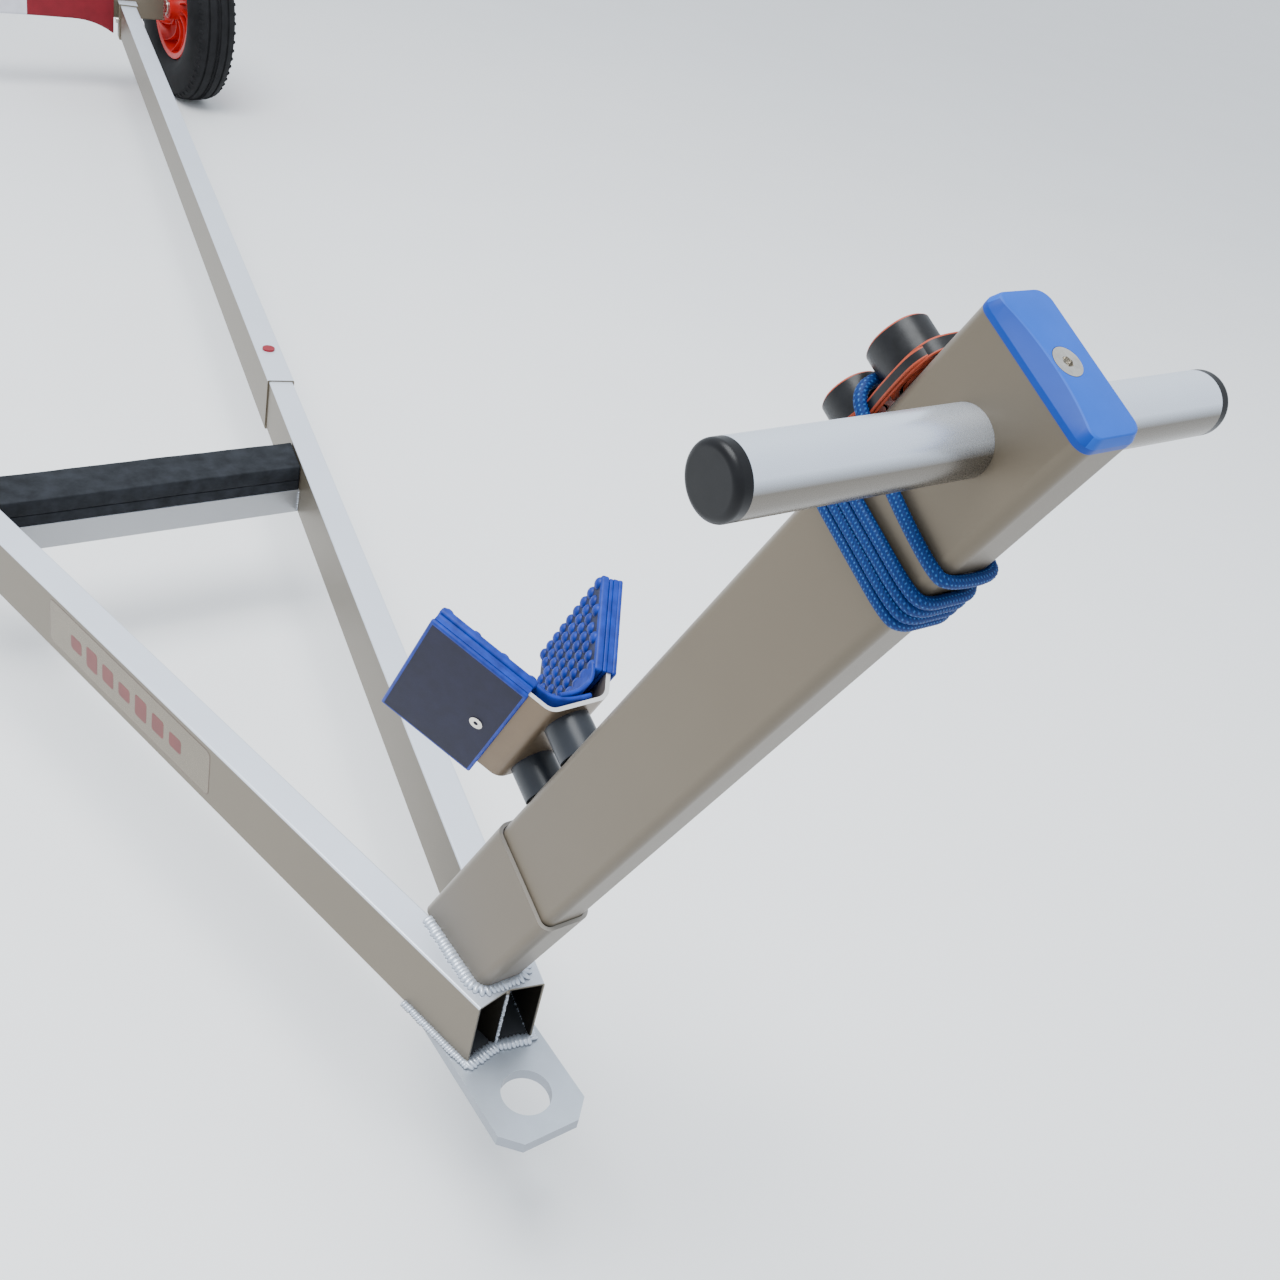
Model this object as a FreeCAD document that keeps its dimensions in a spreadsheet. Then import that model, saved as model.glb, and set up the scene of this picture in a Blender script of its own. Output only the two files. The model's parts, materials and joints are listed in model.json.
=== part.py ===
"""Dinghy launching trolley: V frame, lift-out drawbar with T handle and bow cradle, axle and two wheels.

Millimetres.  X is to the right seen from the front, +Y runs rearwards from the hitch eye, Z is up.
The origin is on the hitch eye's axis, level with the underside of the rails.
"""
import FreeCAD, Part
import math
import os
import re
import Sketcher

SIZES = {
    # hitch eye and nose plate
    "eye_bore": 40, "nose_plate_wide": 78, "nose_plate_thick": 10, "nose_plate_front": 38,
    "nose_plate_back": 104, "nose_corner_cut": 15, "nose_back": 48,
    # rails: a front tube that slides into a rear tube on each side
    "rail_angle": 12.5, "front_rail_wide": 30, "front_rail_high": 66, "front_rail_wall": 2,
    "rear_rail_wall": 1.8, "rail_fit_gap": 0.2, "rail_round": 2, "rail_joint_at": 991, "rail_overlap": 180,
    # snap buttons that lock the two tubes of a rail
    "button_at": 1080, "button_wide": 16, "button_stand": 2.5, "button_gap": 0.1,
    "button_flange_wide": 21, "button_flange_thick": 2, "spring_thick": 0.8, "spring_wide": 12,
    # cross tube and the keel pad on it
    "cross_at": 815, "cross_deep": 56, "cross_high": 30, "cross_wall": 2, "keel_pad_high": 32,
    # drawbar and its socket
    "drawbar_lean": 24.25, "socket_rise": 1.3, "socket_back": 53.8, "drawbar_wide": 35, "drawbar_deep": 77,
    "drawbar_wall": 2.5, "drawbar_round": 7, "drawbar_end": 690, "foot_gap": 0.3, "foot_plug_thick": 4,
    "foot_plug_long": 18, "socket_gap": 0.3, "socket_wall": 2.8, "socket_end": 145, "weld_leg": 6,
    # T handle
    "handle_at": 649, "handle_wide": 32, "handle_wall": 2.5, "handle_long": 295, "handle_gap": 0.05,
    "plug_head": 7.5, "plug_long": 18,
    # cap on the drawbar's end and the bolt that holds it
    "cap_thick": 7.7, "cap_skirt": 6, "cap_chamfer": 3, "cap_bolt_wide": 8, "cap_bolt_head": 15,
    "barrel_nut_long": 24,
    # bow cradle
    "cradle_start": 179, "cradle_end": 277, "cradle_rise": 64, "cradle_plate_thick": 3,
    "cradle_tilt": 31.4, "cradle_corner": 21.5, "cradle_bend": 10, "cradle_wing": 82, "pad_front": 167,
    "pad_rear": 279, "pad_start": 17.3, "pad_long": 78.2, "pad_inner": 11, "pad_outer": 5.3, "pad_gap": 0.2,
    "liner_thick": 3.6, "spacer_wide": 32, "spacer_bolt_wide": 6,
    "spacer_bolt_head": 12, "front_spacer_at": 193, "rear_spacer_at": 254, "nut_wide": 13, "nut_thick": 6,
    "pad_screw_at": 221, "pad_screw_up": 16.4, "pad_screw_wide": 5, "pad_screw_head": 10,
    # rope and tie strap
    "rope_wide": 6.4, "rope_gap": 0.3, "rope_turns": 4, "rope_start": 562, "strap_start": 584,
    "strap_end": 662, "strap_wide": 32, "strap_high": 27, "strap_gap": 0.3,
    # axle
    "axle_front": 2800, "axle_deep": 50, "axle_low": 34, "axle_reach": 98, "axle_wall": 3, "axle_round": 3,
    "collar_long": 36, "collar_wall": 3, "collar_gap": 0.2, "collar_bolt_wide": 8, "collar_bolt_back": 18,
    "end_block_long": 60, "end_block_flange": 4, "stub_wide": 20, "cover_clear": 14,
    "cover_thick": 3, "cover_gap": 0.3, "washer_wide": 36, "washer_thick": 2.5, "linch_wide": 6,
    # wheels
    "wheel_reach": 162, "tyre_wide": 400, "tyre_thick": 98, "rim_wide": 224, "rim_thick": 74, "hub_wide": 48,
    "hub_long": 96, "bush_gap": 0.05, "bush_wall": 3, "bush_long": 30, "rim_ribs": 9, "valve_wide": 7,
}

doc = FreeCAD.newDocument("launching_trolley")
sheet = doc.addObject("Spreadsheet::Sheet", "sizes")
for row, (name, size) in enumerate(SIZES.items(), 1):
    sheet.set("A%d" % row, name)
    sheet.set("B%d" % row, str(size))
    sheet.setAlias("B%d" % row, name)
doc.recompute()

X = FreeCAD.Vector(1, 0, 0)
Y = FreeCAD.Vector(0, 1, 0)
Z = FreeCAD.Vector(0, 0, 1)
LONG = 4000           # longer than the trolley, for cuts that go right through
NODES = []


def formula(words):
    """The words with each size's name pointed at the sheet."""
    return re.sub(r"[a-z_]{3,}", lambda m: ("sizes." if m.group() in SIZES else "") + m.group(), str(words))


def value(words):
    """What a formula in the sheet's names comes to now."""
    return float(sheet.evalExpression(formula(words)))


def bind(thing, what, words):
    thing.setExpression(what, formula(words))


def place(x=0, y=0, z=0, axis=Z, angle=0):
    spot = FreeCAD.Vector(value(x), value(y), value(z))
    return FreeCAD.Placement(spot, FreeCAD.Rotation(axis, value(angle)))


def node(label, kind="PartDesign::Body"):
    thing = doc.addObject(kind, label)
    thing.Label = label
    NODES.append(thing)
    return thing


def sketch(body, role="XY_Plane", lift="0", turn=0):
    """A sketch on one of the body's own planes, raised along the plane's normal and turned in it."""
    plane = next(o for o in body.Origin.OriginFeatures if o.Role == role)
    sk = body.newObject("Sketcher::SketchObject", "Sketch")
    sk.AttachmentSupport = (plane, "")
    sk.MapMode = "FlatFace"
    sk.AttachmentOffset = FreeCAD.Placement(FreeCAD.Vector(), FreeCAD.Rotation(Z, turn))
    bind(sk, "AttachmentOffset.Base.z", lift)
    return sk


def fix(sk, kind, *where, to):
    """A driving constraint bound to a formula."""
    index = sk.addConstraint(Sketcher.Constraint(kind, *where, value(to)))
    bind(sk, "Constraints[%d]" % index, to)


def outline(sk, points):
    """A closed polygon; each point is two formulas measured from the sketch's origin."""
    first = sk.GeometryCount
    spots = [FreeCAD.Vector(value(a), value(b)) for a, b in points]
    last = len(spots) - 1
    for i, spot in enumerate(spots):
        sk.addGeometry(Part.LineSegment(spot, spots[(i + 1) % len(spots)]))
    for i, (across, up) in enumerate(points):
        following = first + (i + 1 if i < last else 0)
        sk.addConstraint(Sketcher.Constraint("Coincident", first + i, 2, following, 1))
        fix(sk, "DistanceX", -1, 1, first + i, 1, to=across)
        fix(sk, "DistanceY", -1, 1, first + i, 1, to=up)


def box_outline(sk, wide, high, across="0", up="0"):
    """A rectangle about a centre."""
    sides = [("-", "-"), ("+", "-"), ("+", "+"), ("-", "+")]
    outline(sk, [("(%s)%s(%s)/2" % (across, a, wide), "(%s)%s(%s)/2" % (up, b, high)) for a, b in sides])


def round_outline(sk, wide, high, radius):
    """A rectangle with round corners, centred on the sketch's origin."""
    w, h, r = value(wide) / 2, value(high) / 2, value(radius)
    start = sk.GeometryCount
    corners = [(w - r, h - r, 0), (r - w, h - r, 90), (r - w, r - h, 180), (w - r, r - h, 270)]
    for cx, cy, turn in corners:
        ring = Part.Circle(FreeCAD.Vector(cx, cy), Z, r)
        sk.addGeometry(Part.ArcOfCircle(ring, math.radians(turn), math.radians(turn + 90)))
    for i in range(4):
        this, following = start + i, start + (i + 1) % 4
        a = sk.getPoint(this, 2)
        b = sk.getPoint(following, 1)
        side = sk.addGeometry(Part.LineSegment(a, b))
        sk.addConstraint(Sketcher.Constraint("Tangent", this, 2, side, 1))
        sk.addConstraint(Sketcher.Constraint("Tangent", side, 2, following, 1))
        if i:
            sk.addConstraint(Sketcher.Constraint("Equal", start, this))
        sk.addConstraint(Sketcher.Constraint("Horizontal" if i % 2 == 0 else "Vertical", side))
    sk.addConstraint(Sketcher.Constraint("Symmetric", start, 3, start + 2, 3, -1, 1))
    fix(sk, "Radius", start, to=radius)
    fix(sk, "DistanceX", start + 1, 3, start, 3, to="(%s)-2*(%s)" % (wide, radius))
    fix(sk, "DistanceY", start + 3, 3, start, 3, to="(%s)-2*(%s)" % (high, radius))


def circle(sk, wide, across="0", up="0"):
    ring = sk.addGeometry(Part.Circle(FreeCAD.Vector(value(across), value(up)), Z, value(wide) / 2))
    fix(sk, "Diameter", ring, to=wide)
    fix(sk, "DistanceX", -1, 1, ring, 3, to=across)
    fix(sk, "DistanceY", -1, 1, ring, 3, to=up)


def pad(body, sk, long, back=False, middle=False):
    """Material from the sketch along its plane's normal, or against it, or half each way."""
    doc.recompute()
    piece = body.newObject("PartDesign::Pad", "Pad")
    piece.Profile = sk
    bind(piece, "Length", long)
    piece.Reversed = back
    piece.Midplane = middle
    doc.recompute()
    return piece


def cut(body, sk, long=None, back=False):
    """A pocket: as deep as stated, or right through both ways; it has to take material away."""
    before = body.Shape.Volume
    doc.recompute()
    piece = body.newObject("PartDesign::Pocket", "Pocket")
    piece.Profile = sk
    if long is None:
        piece.Length = LONG
        piece.Midplane = True
    else:
        bind(piece, "Length", long)
        piece.Reversed = back
    doc.recompute()
    if not body.Shape.Volume < before:
        raise ValueError("a pocket in %s removes nothing" % body.Label)
    return piece


def turned(body, sk, axis="H_Axis", groove=False):
    """The sketch turned once round one of its own axes."""
    doc.recompute()
    piece = body.newObject("PartDesign::Groove" if groove else "PartDesign::Revolution", "Turned")
    piece.Profile = sk
    piece.ReferenceAxis = (sk, [axis])
    piece.Angle = 360
    doc.recompute()
    return piece


def long_edges(shape, along, reach):
    """Names of the straight edges that run along a direction for at least a length."""
    names = []
    for i, edge in enumerate(shape.Edges, 1):
        if isinstance(edge.Curve, Part.Line) and edge.Length >= reach:
            if abs(edge.Curve.Direction.dot(along)) > 0.999:
                names.append("Edge%d" % i)
    return names


def dress(body, kind, names, size):
    """A fillet or a chamfer on the tip's named edges."""
    tip = body.Tip
    piece = body.newObject("PartDesign::" + kind, kind)
    piece.Base = (tip, names)
    bind(piece, "Radius" if kind == "Fillet" else "Size", size)
    doc.recompute()
    return piece


def tube(label, wide, high, wall, long, start="0", radius="rail_round"):
    """A rectangular tube along its own Y from start, centred in X and Z."""
    body = node(label)
    outer = sketch(body, "XZ_Plane", "-(%s)" % start)
    round_outline(outer, wide, high, radius)
    pad(body, outer, long, back=True)
    inner = sketch(body, "XZ_Plane", "-(%s)" % start)
    box_outline(inner, "%s-2*(%s)" % (wide, wall), "%s-2*(%s)" % (high, wall))
    cut(body, inner, long, back=False)
    return body


# --- nose plate with the hitch eye ---------------------------------------------------------------
nose_plate = node("nose_plate")
plate = sketch(nose_plate)
half, front, back, corner = "nose_plate_wide/2", "nose_plate_front", "nose_plate_back", "nose_corner_cut"
outline(plate, [("-%s" % half, "-%s+%s" % (front, corner)), ("-%s+%s" % (half, corner), "-%s" % front),
                ("%s-%s" % (half, corner), "-%s" % front), (half, "-%s+%s" % (front, corner)),
                (half, back), ("-%s" % half, back)])
pad(nose_plate, plate, "nose_plate_thick", back=True)
eye = sketch(nose_plate)
circle(eye, "eye_bore")
cut(nose_plate, eye)

# --- rails ---------------------------------------------------------------------------------------
rear_wide = "(front_rail_wide+2*rail_fit_gap+2*rear_rail_wall)"
rear_high = "(front_rail_high+2*rail_fit_gap+2*rear_rail_wall)"
rail_middle = "(front_rail_high/2)"
axle_on_rail = "((axle_front-nose_back+front_rail_wide/2*sin(rail_angle))/cos(rail_angle))"
rear_end = "(%s+60*tan(rail_angle))" % axle_on_rail
SIDES = {"left": 1, "right": -1}


def on_rail(side):
    """The rail's own frame: Y along its middle line from the nose, X across, Z up."""
    sign = SIDES[side]
    across = "%d*front_rail_wide/2*cos(rail_angle)" % -sign
    back = "nose_back-front_rail_wide/2*sin(rail_angle)"
    return place(across, back, rail_middle, Z, "%d*rail_angle" % sign)


def trim_at_axle(body, side):
    """The tube's end cut in the plane of the axle's front face."""
    edge = sketch(body, "XY_Plane", "0", -SIDES[side] * value("rail_angle"))
    bind(edge, "AttachmentOffset.Base.y", axle_on_rail)
    box_outline(edge, 200, 100, "0", "50")
    cut(body, edge)


for side in SIDES:
    front_rail = tube("front_rail_" + side, "front_rail_wide", "front_rail_high", "front_rail_wall",
                      "rail_joint_at+rail_overlap")
    hole = sketch(front_rail)
    circle(hole, "button_wide+2*button_gap", "0", "button_at")
    cut(front_rail, hole, "front_rail_high", back=True)
    front_rail.Placement = on_rail(side)

    rear_rail = tube("rear_rail_" + side, rear_wide, rear_high, "rear_rail_wall",
                     "%s-rail_joint_at" % rear_end, "rail_joint_at")
    hole = sketch(rear_rail)
    circle(hole, "button_wide+2*button_gap", "0", "button_at")
    cut(rear_rail, hole, "front_rail_high", back=True)
    trim_at_axle(rear_rail, side)
    rear_rail.Placement = on_rail(side)

    collar = tube("rail_collar_" + side, "%s+2*collar_gap+2*collar_wall" % rear_wide,
                  "%s+2*collar_gap+2*collar_wall" % rear_high, "collar_wall",
                  "%s-%s+collar_long" % (rear_end, axle_on_rail), "%s-collar_long" % axle_on_rail)
    trim_at_axle(collar, side)
    collar.Placement = on_rail(side)

    bolt_up = "%s-collar_bolt_back" % axle_on_rail
    for bored in (rear_rail, collar):
        hole = sketch(bored, "YZ_Plane")
        circle(hole, "collar_bolt_wide+0.4", bolt_up, "0")
        cut(bored, hole)

    collar_bolt = node("collar_bolt_" + side)
    outside = "(%s/2+collar_gap+collar_wall)" % rear_wide
    shank = sketch(collar_bolt, "YZ_Plane", "-%s" % outside)
    circle(shank, "collar_bolt_wide", bolt_up, "0")
    pad(collar_bolt, shank, "2*%s+10" % outside)
    for lift in ("-%s-5.5" % outside, outside):
        head = sketch(collar_bolt, "YZ_Plane", lift)
        circle(head, "collar_bolt_wide*1.7", bolt_up, "0")
        pad(collar_bolt, head, "5.5")
    collar_bolt.Placement = on_rail(side)

    # the snap button stands out of both tubes, its flange under the front tube's roof
    button = node("rail_button_" + side)
    under_roof = "(front_rail_high/2-front_rail_wall)"
    stem = sketch(button, "XY_Plane", "%s-button_flange_thick-0.1" % under_roof)
    circle(stem, "button_wide", "0", "button_at")
    top = "%s/2+button_stand" % rear_high
    pad(button, stem, "%s-(%s-button_flange_thick-0.1)" % (top, under_roof))
    flange = sketch(button, "XY_Plane", "%s-button_flange_thick-0.1" % under_roof)
    circle(flange, "button_flange_wide", "0", "button_at")
    pad(button, flange, "button_flange_thick")
    button.Placement = on_rail(side)

    # a V leaf between the floor of the front tube and the button
    spring = node("button_spring_" + side)
    leaf = sketch(spring, "YZ_Plane")
    floor, lift = "-%s+0.1" % under_roof, "%s-button_flange_thick-0.3" % under_roof
    outline(leaf, [("button_at+30", floor), ("button_at+30", "%s+spring_thick" % floor),
                   ("button_at-24", "%s+spring_thick" % floor), ("button_at+8", lift),
                   ("button_at-8", lift), ("button_at-8", "%s-spring_thick" % lift),
                   ("button_at+5.5", "%s-spring_thick" % lift), ("button_at-27", floor)])
    pad(spring, leaf, "spring_wide", middle=True)
    spring.Placement = on_rail(side)

# --- cross tube and keel pad ---------------------------------------------------------------------


def between_rails(y, gap="0"):
    """Half the space between the front rails at a distance behind the eye."""
    return "((%s-nose_back)*tan(rail_angle)-(%s))" % (y, gap)


def cross_outline(sk, gap):
    front, back = "cross_at", "(cross_at+cross_deep)"
    outline(sk, [("-%s" % between_rails(front, gap), front), (between_rails(front, gap), front),
                 (between_rails(back, gap), back), ("-%s" % between_rails(back, gap), back)])


cross_tube = node("cross_tube")
cross = sketch(cross_tube)
cross_outline(cross, "0")
pad(cross_tube, cross, "cross_high")
bore = sketch(cross_tube, "YZ_Plane")
box_outline(bore, "cross_deep-2*cross_wall", "cross_high-2*cross_wall", "cross_at+cross_deep/2",
            "cross_high/2")
cut(cross_tube, bore)

keel_pad = node("cross_tube_pad")
foam = sketch(keel_pad, "XY_Plane", "cross_high")
cross_outline(foam, "0.4")
pad(keel_pad, foam, "keel_pad_high")
dress(keel_pad, "Fillet", long_edges(keel_pad.Shape, X, 100)[-2:], "2")

# --- drawbar socket on the nose, in the drawbar's leaning frame -----------------------------------
LEAN = place("0", "nose_back+socket_back", "front_rail_high+socket_rise", X, "drawbar_lean")
socket_wide = "(drawbar_wide+2*socket_gap+2*socket_wall)"
socket_deep = "(drawbar_deep+2*socket_gap+2*socket_wall)"
socket = node("drawbar_socket")
wall = sketch(socket, "XY_Plane", "-40")
round_outline(wall, socket_wide, socket_deep, "drawbar_round+socket_gap+socket_wall-1")
pad(socket, wall, "socket_end+40")
mouth = sketch(socket, "XY_Plane", "-40")
round_outline(mouth, "drawbar_wide+2*socket_gap", "drawbar_deep+2*socket_gap", "drawbar_round-0.5")
cut(socket, mouth, "socket_end+40", back=True)


def rail_top(v):
    """Where the level of the rails' top faces crosses the drawbar's frame, at a depth v."""
    return "-(socket_rise+(%s)*sin(drawbar_lean))/cos(drawbar_lean)" % v


foot = sketch(socket, "YZ_Plane")
outline(foot, [("-70", rail_top("-70")), ("70", rail_top("70")), ("70", "-120"), ("-70", "-120")])
cut(socket, foot)
socket.Placement = LEAN

# --- weld beads: round the socket's foot and under the rails' front ends ---------------------------
welds = node("nose_welds", "Part::Feature")
leg = value("weld_leg")
lean, spread = math.radians(value("drawbar_lean")), math.radians(value("rail_angle"))
level = value("front_rail_high")
side_x = value(socket_wide) / 2


def bead(start, end, up, out):
    """A three-cornered run of weld in the angle between two plates."""
    corner_spot = FreeCAD.Vector(*start)
    spots = [corner_spot, corner_spot + FreeCAD.Vector(*up) * leg, corner_spot + FreeCAD.Vector(*out) * leg]
    face = Part.Face(Part.makePolygon(spots + spots[:1]))
    return face.extrude(FreeCAD.Vector(*end) - corner_spot)


def foot_spot(v, x=0):
    """Where the socket's wall at a depth v meets the rails' top faces."""
    on_plane = LEAN.multVec(FreeCAD.Vector(x, v, value(rail_top(v))))
    return (on_plane.x, on_plane.y, on_plane.z)


front_v, round_reach = -value(socket_deep) / 2, value("drawbar_round") + 4
back_v = value(socket_deep) / 2 - round_reach
up_wall = (0, -math.sin(lean), math.cos(lean))
front_x = side_x - round_reach
runs = [bead(foot_spot(front_v, -front_x), foot_spot(front_v, front_x), up_wall, (0, -1, 0))]
for sign in (1, -1):
    runs.append(bead(foot_spot(front_v + round_reach, sign * side_x), foot_spot(back_v, sign * side_x),
                     (0, 0, 1), (sign, 0, 0)))
    along, nose = (sign * math.sin(spread), math.cos(spread)), value("nose_back")
    rail_wide = value("front_rail_wide")
    outer_corner = (sign * rail_wide * math.cos(spread), nose - rail_wide * math.sin(spread), 0)
    clear = leg * math.sin(spread) * 1.1
    inner_corner = (sign * clear, nose - clear * math.tan(spread), 0)
    runs.append(bead(inner_corner, outer_corner, (0, 0, 1), (-along[0], -along[1], 0)))
welds.Shape = Part.makeCompound(runs)

# --- drawbar tube, its foot plug, the T handle and the end cap -------------------------------------
inner_wide = "(drawbar_wide-2*drawbar_wall)"
inner_deep = "(drawbar_deep-2*drawbar_wall)"
inner_round = "(drawbar_round-drawbar_wall)"
foot_rise = "(drawbar_deep/2*sin(drawbar_lean)-socket_rise+foot_gap)"
drawbar_foot = "(foot_plug_thick+%s/cos(drawbar_lean))" % foot_rise
drawbar = node("drawbar_tube")
outer = sketch(drawbar, "XY_Plane", drawbar_foot)
round_outline(outer, "drawbar_wide", "drawbar_deep", "drawbar_round")
pad(drawbar, outer, "drawbar_end-%s" % drawbar_foot)
inner = sketch(drawbar, "XY_Plane", drawbar_foot)
round_outline(inner, inner_wide, inner_deep, inner_round)
cut(drawbar, inner, "drawbar_end-%s" % drawbar_foot, back=True)
across = sketch(drawbar, "YZ_Plane")
circle(across, "handle_wide+2*handle_gap", "0", "handle_at")
cut(drawbar, across)
rear_holes = sketch(drawbar, "XZ_Plane")
for at in ("front_spacer_at", "rear_spacer_at"):
    circle(rear_holes, "spacer_bolt_wide+0.4", "0", at)
cut(drawbar, rear_holes, "drawbar_deep")
drawbar.Placement = LEAN

foot_plug = node("drawbar_foot_plug")
flange = sketch(foot_plug, "XY_Plane", "%s-foot_plug_thick" % drawbar_foot)
round_outline(flange, "drawbar_wide", "drawbar_deep", "drawbar_round")
pad(foot_plug, flange, "foot_plug_thick")
body_part = sketch(foot_plug, "XY_Plane", drawbar_foot)
round_outline(body_part, "%s-0.2" % inner_wide, "%s-0.2" % inner_deep, inner_round)
pad(foot_plug, body_part, "foot_plug_long")
foot_plug.Placement = LEAN

handle = node("handle_tube")
grip = sketch(handle, "YZ_Plane")
circle(grip, "handle_wide", "0", "handle_at")
pad(handle, grip, "handle_long", middle=True)
grip_bore = sketch(handle, "YZ_Plane")
circle(grip_bore, "handle_wide-2*handle_wall", "0", "handle_at")
cut(handle, grip_bore)
bolt_way = sketch(handle, "XY_Plane", "handle_at")
circle(bolt_way, "cap_bolt_wide+1")
cut(handle, bolt_way, "handle_wide", back=True)
handle.Placement = LEAN

for side, sign in SIDES.items():
    plug = node("handle_plug_" + side)
    head = sketch(plug, "YZ_Plane", "%d*(handle_long/2)" % -sign)
    circle(head, "handle_wide", "0", "handle_at")
    pad(plug, head, "plug_head", back=sign > 0)
    rims = [i for i, e in enumerate(plug.Shape.Edges, 1)
            if isinstance(e.Curve, Part.Circle) and abs(e.Curve.Center.x) > value("handle_long/2") + 1]
    dress(plug, "Fillet", ["Edge%d" % i for i in rims], "plug_head*0.45")
    stem = sketch(plug, "YZ_Plane", "%d*(handle_long/2)" % -sign)
    circle(stem, "handle_wide-2*handle_wall-0.2", "0", "handle_at")
    pad(plug, stem, "plug_long", back=sign < 0)
    plug.Placement = LEAN

barrel_nut = node("handle_barrel_nut")
rod = sketch(barrel_nut, "YZ_Plane")
circle(rod, "handle_wide-2*handle_wall-0.2", "0", "handle_at")
pad(barrel_nut, rod, "barrel_nut_long", middle=True)
thread = sketch(barrel_nut, "XY_Plane", "handle_at")
circle(thread, "cap_bolt_wide")
cut(barrel_nut, thread)
barrel_nut.Placement = LEAN

cap = node("top_cap")
lid = sketch(cap, "XY_Plane", "drawbar_end")
round_outline(lid, "drawbar_wide", "drawbar_deep", "drawbar_round")
pad(cap, lid, "cap_thick")
rim = [i for i, e in enumerate(cap.Shape.Edges, 1)
       if min(v.Z for v in e.Vertexes) > value("drawbar_end") + 1]
dress(cap, "Chamfer", ["Edge%d" % i for i in rim], "cap_chamfer")
skirt = sketch(cap, "XY_Plane", "drawbar_end")
round_outline(skirt, "%s-0.2" % inner_wide, "%s-0.2" % inner_deep, inner_round)
pad(cap, skirt, "cap_skirt", back=True)
bolt_hole = sketch(cap, "XY_Plane", "drawbar_end")
circle(bolt_hole, "cap_bolt_wide+0.4")
cut(cap, bolt_hole)
seat = sketch(cap, "XZ_Plane")
cap_top = "(drawbar_end+cap_thick)"
head_deep = "((cap_bolt_head-cap_bolt_wide)/2)"
seat_floor = "%s-%s" % (cap_top, head_deep)
outline(seat, [("0", cap_top), ("cap_bolt_head/2+0.2", cap_top), ("cap_bolt_wide/2+0.2", seat_floor),
               ("0", seat_floor)])
turned(cap, seat, "V_Axis", groove=True)
cap.Placement = LEAN

cap_bolt = node("top_cap_bolt")
bolt_end = "(handle_at-handle_wide/2+handle_wall+1)"
half_bolt = sketch(cap_bolt, "XZ_Plane")
outline(half_bolt, [("0", bolt_end), ("cap_bolt_wide/2", bolt_end),
                    ("cap_bolt_wide/2", "%s-%s" % (cap_top, head_deep)), ("cap_bolt_head/2", cap_top),
                    ("0", cap_top)])
turned(cap_bolt, half_bolt, "V_Axis")
socket_six = sketch(cap_bolt, "XY_Plane", cap_top)
key_half = "cap_bolt_wide*0.36"
outline(socket_six, [("%s*cos(%d)" % (key_half, a), "%s*sin(%d)" % (key_half, a)) for a in range(0, 360, 60)])
cut(cap_bolt, socket_six, "3")
cap_bolt.Placement = LEAN

# --- bow cradle on the drawbar's rear face --------------------------------------------------------
# sketches lie across the drawbar: their X is across, their Y stands up from the drawbar's middle
cradle_long = "(cradle_end-cradle_start)"
middle_level = "(cradle_rise+cradle_plate_thick/2)"
wing_x, wing_y = "sin(cradle_tilt)", "cos(cradle_tilt)"


def wing(along, off, sign=1):
    """A point in a wing's section: along the wing from its corner, and off it to the outside."""
    return ("%d*(cradle_corner+(%s)*%s+(%s)*%s)" % (sign, along, wing_x, off, wing_y),
            "%s+(%s)*%s-(%s)*%s" % (middle_level, along, wing_y, off, wing_x))


cradle = node("cradle_plate")
section = sketch(cradle, "XY_Plane", "cradle_start")
half_plate = "(cradle_plate_thick/2)"
inner_corner = "%s*tan(45-cradle_tilt/2)" % half_plate
outer_points = [wing("cradle_wing", half_plate, -1), wing("-%s" % inner_corner, half_plate, -1)]
outer_points += [wing("-%s" % inner_corner, half_plate), wing("cradle_wing", half_plate)]
inner_points = [wing("cradle_wing", "-%s" % half_plate), wing(inner_corner, "-%s" % half_plate)]
inner_points += [wing(inner_corner, "-%s" % half_plate, -1), wing("cradle_wing", "-%s" % half_plate, -1)]
outline(section, outer_points + inner_points)
pad(cradle, section, cradle_long)
bends = {"inside": [], "outside": []}
for i, edge in enumerate(cradle.Shape.Edges, 1):
    spot = edge.CenterOfMass
    straight = abs(edge.Vertexes[0].Point.z - edge.Vertexes[-1].Point.z) > 50
    if straight and spot.y < value("cradle_rise") + 8:
        bends["inside" if spot.y > value(middle_level) else "outside"].append("Edge%d" % i)
dress(cradle, "Fillet", bends["inside"], "cradle_bend-cradle_plate_thick/2")
outside = [i for i, e in enumerate(cradle.Shape.Edges, 1)
           if isinstance(e.Curve, Part.Line) and e.Length > 50 and abs(e.Curve.Direction.z) > 0.999
           and e.CenterOfMass.y < value("cradle_rise") + 0.5]
dress(cradle, "Fillet", ["Edge%d" % i for i in outside], "cradle_bend+cradle_plate_thick/2")


def stand_profile(body, at, points, groove=False):
    """A half section turned about a line that stands up from the drawbar at a place along it."""
    half_section = sketch(body, "YZ_Plane")
    bind(half_section, "AttachmentOffset.Base.y", at)
    outline(half_section, points)
    return turned(body, half_section, "H_Axis", groove)


SPACERS = {"front": "front_spacer_at", "rear": "rear_spacer_at"}
plate_top = "(cradle_rise+cradle_plate_thick)"
drawbar_back = "(drawbar_deep/2)"
for at in SPACERS.values():
    thin, wide = "(spacer_bolt_wide/2+0.1)", "(spacer_bolt_head/2+0.1)"
    stand_profile(cradle, at, [("cradle_rise-1", "0"), ("cradle_rise-1", thin), ("cradle_rise", thin),
                               (plate_top, wide), (plate_top, "0")], groove=True)


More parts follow.
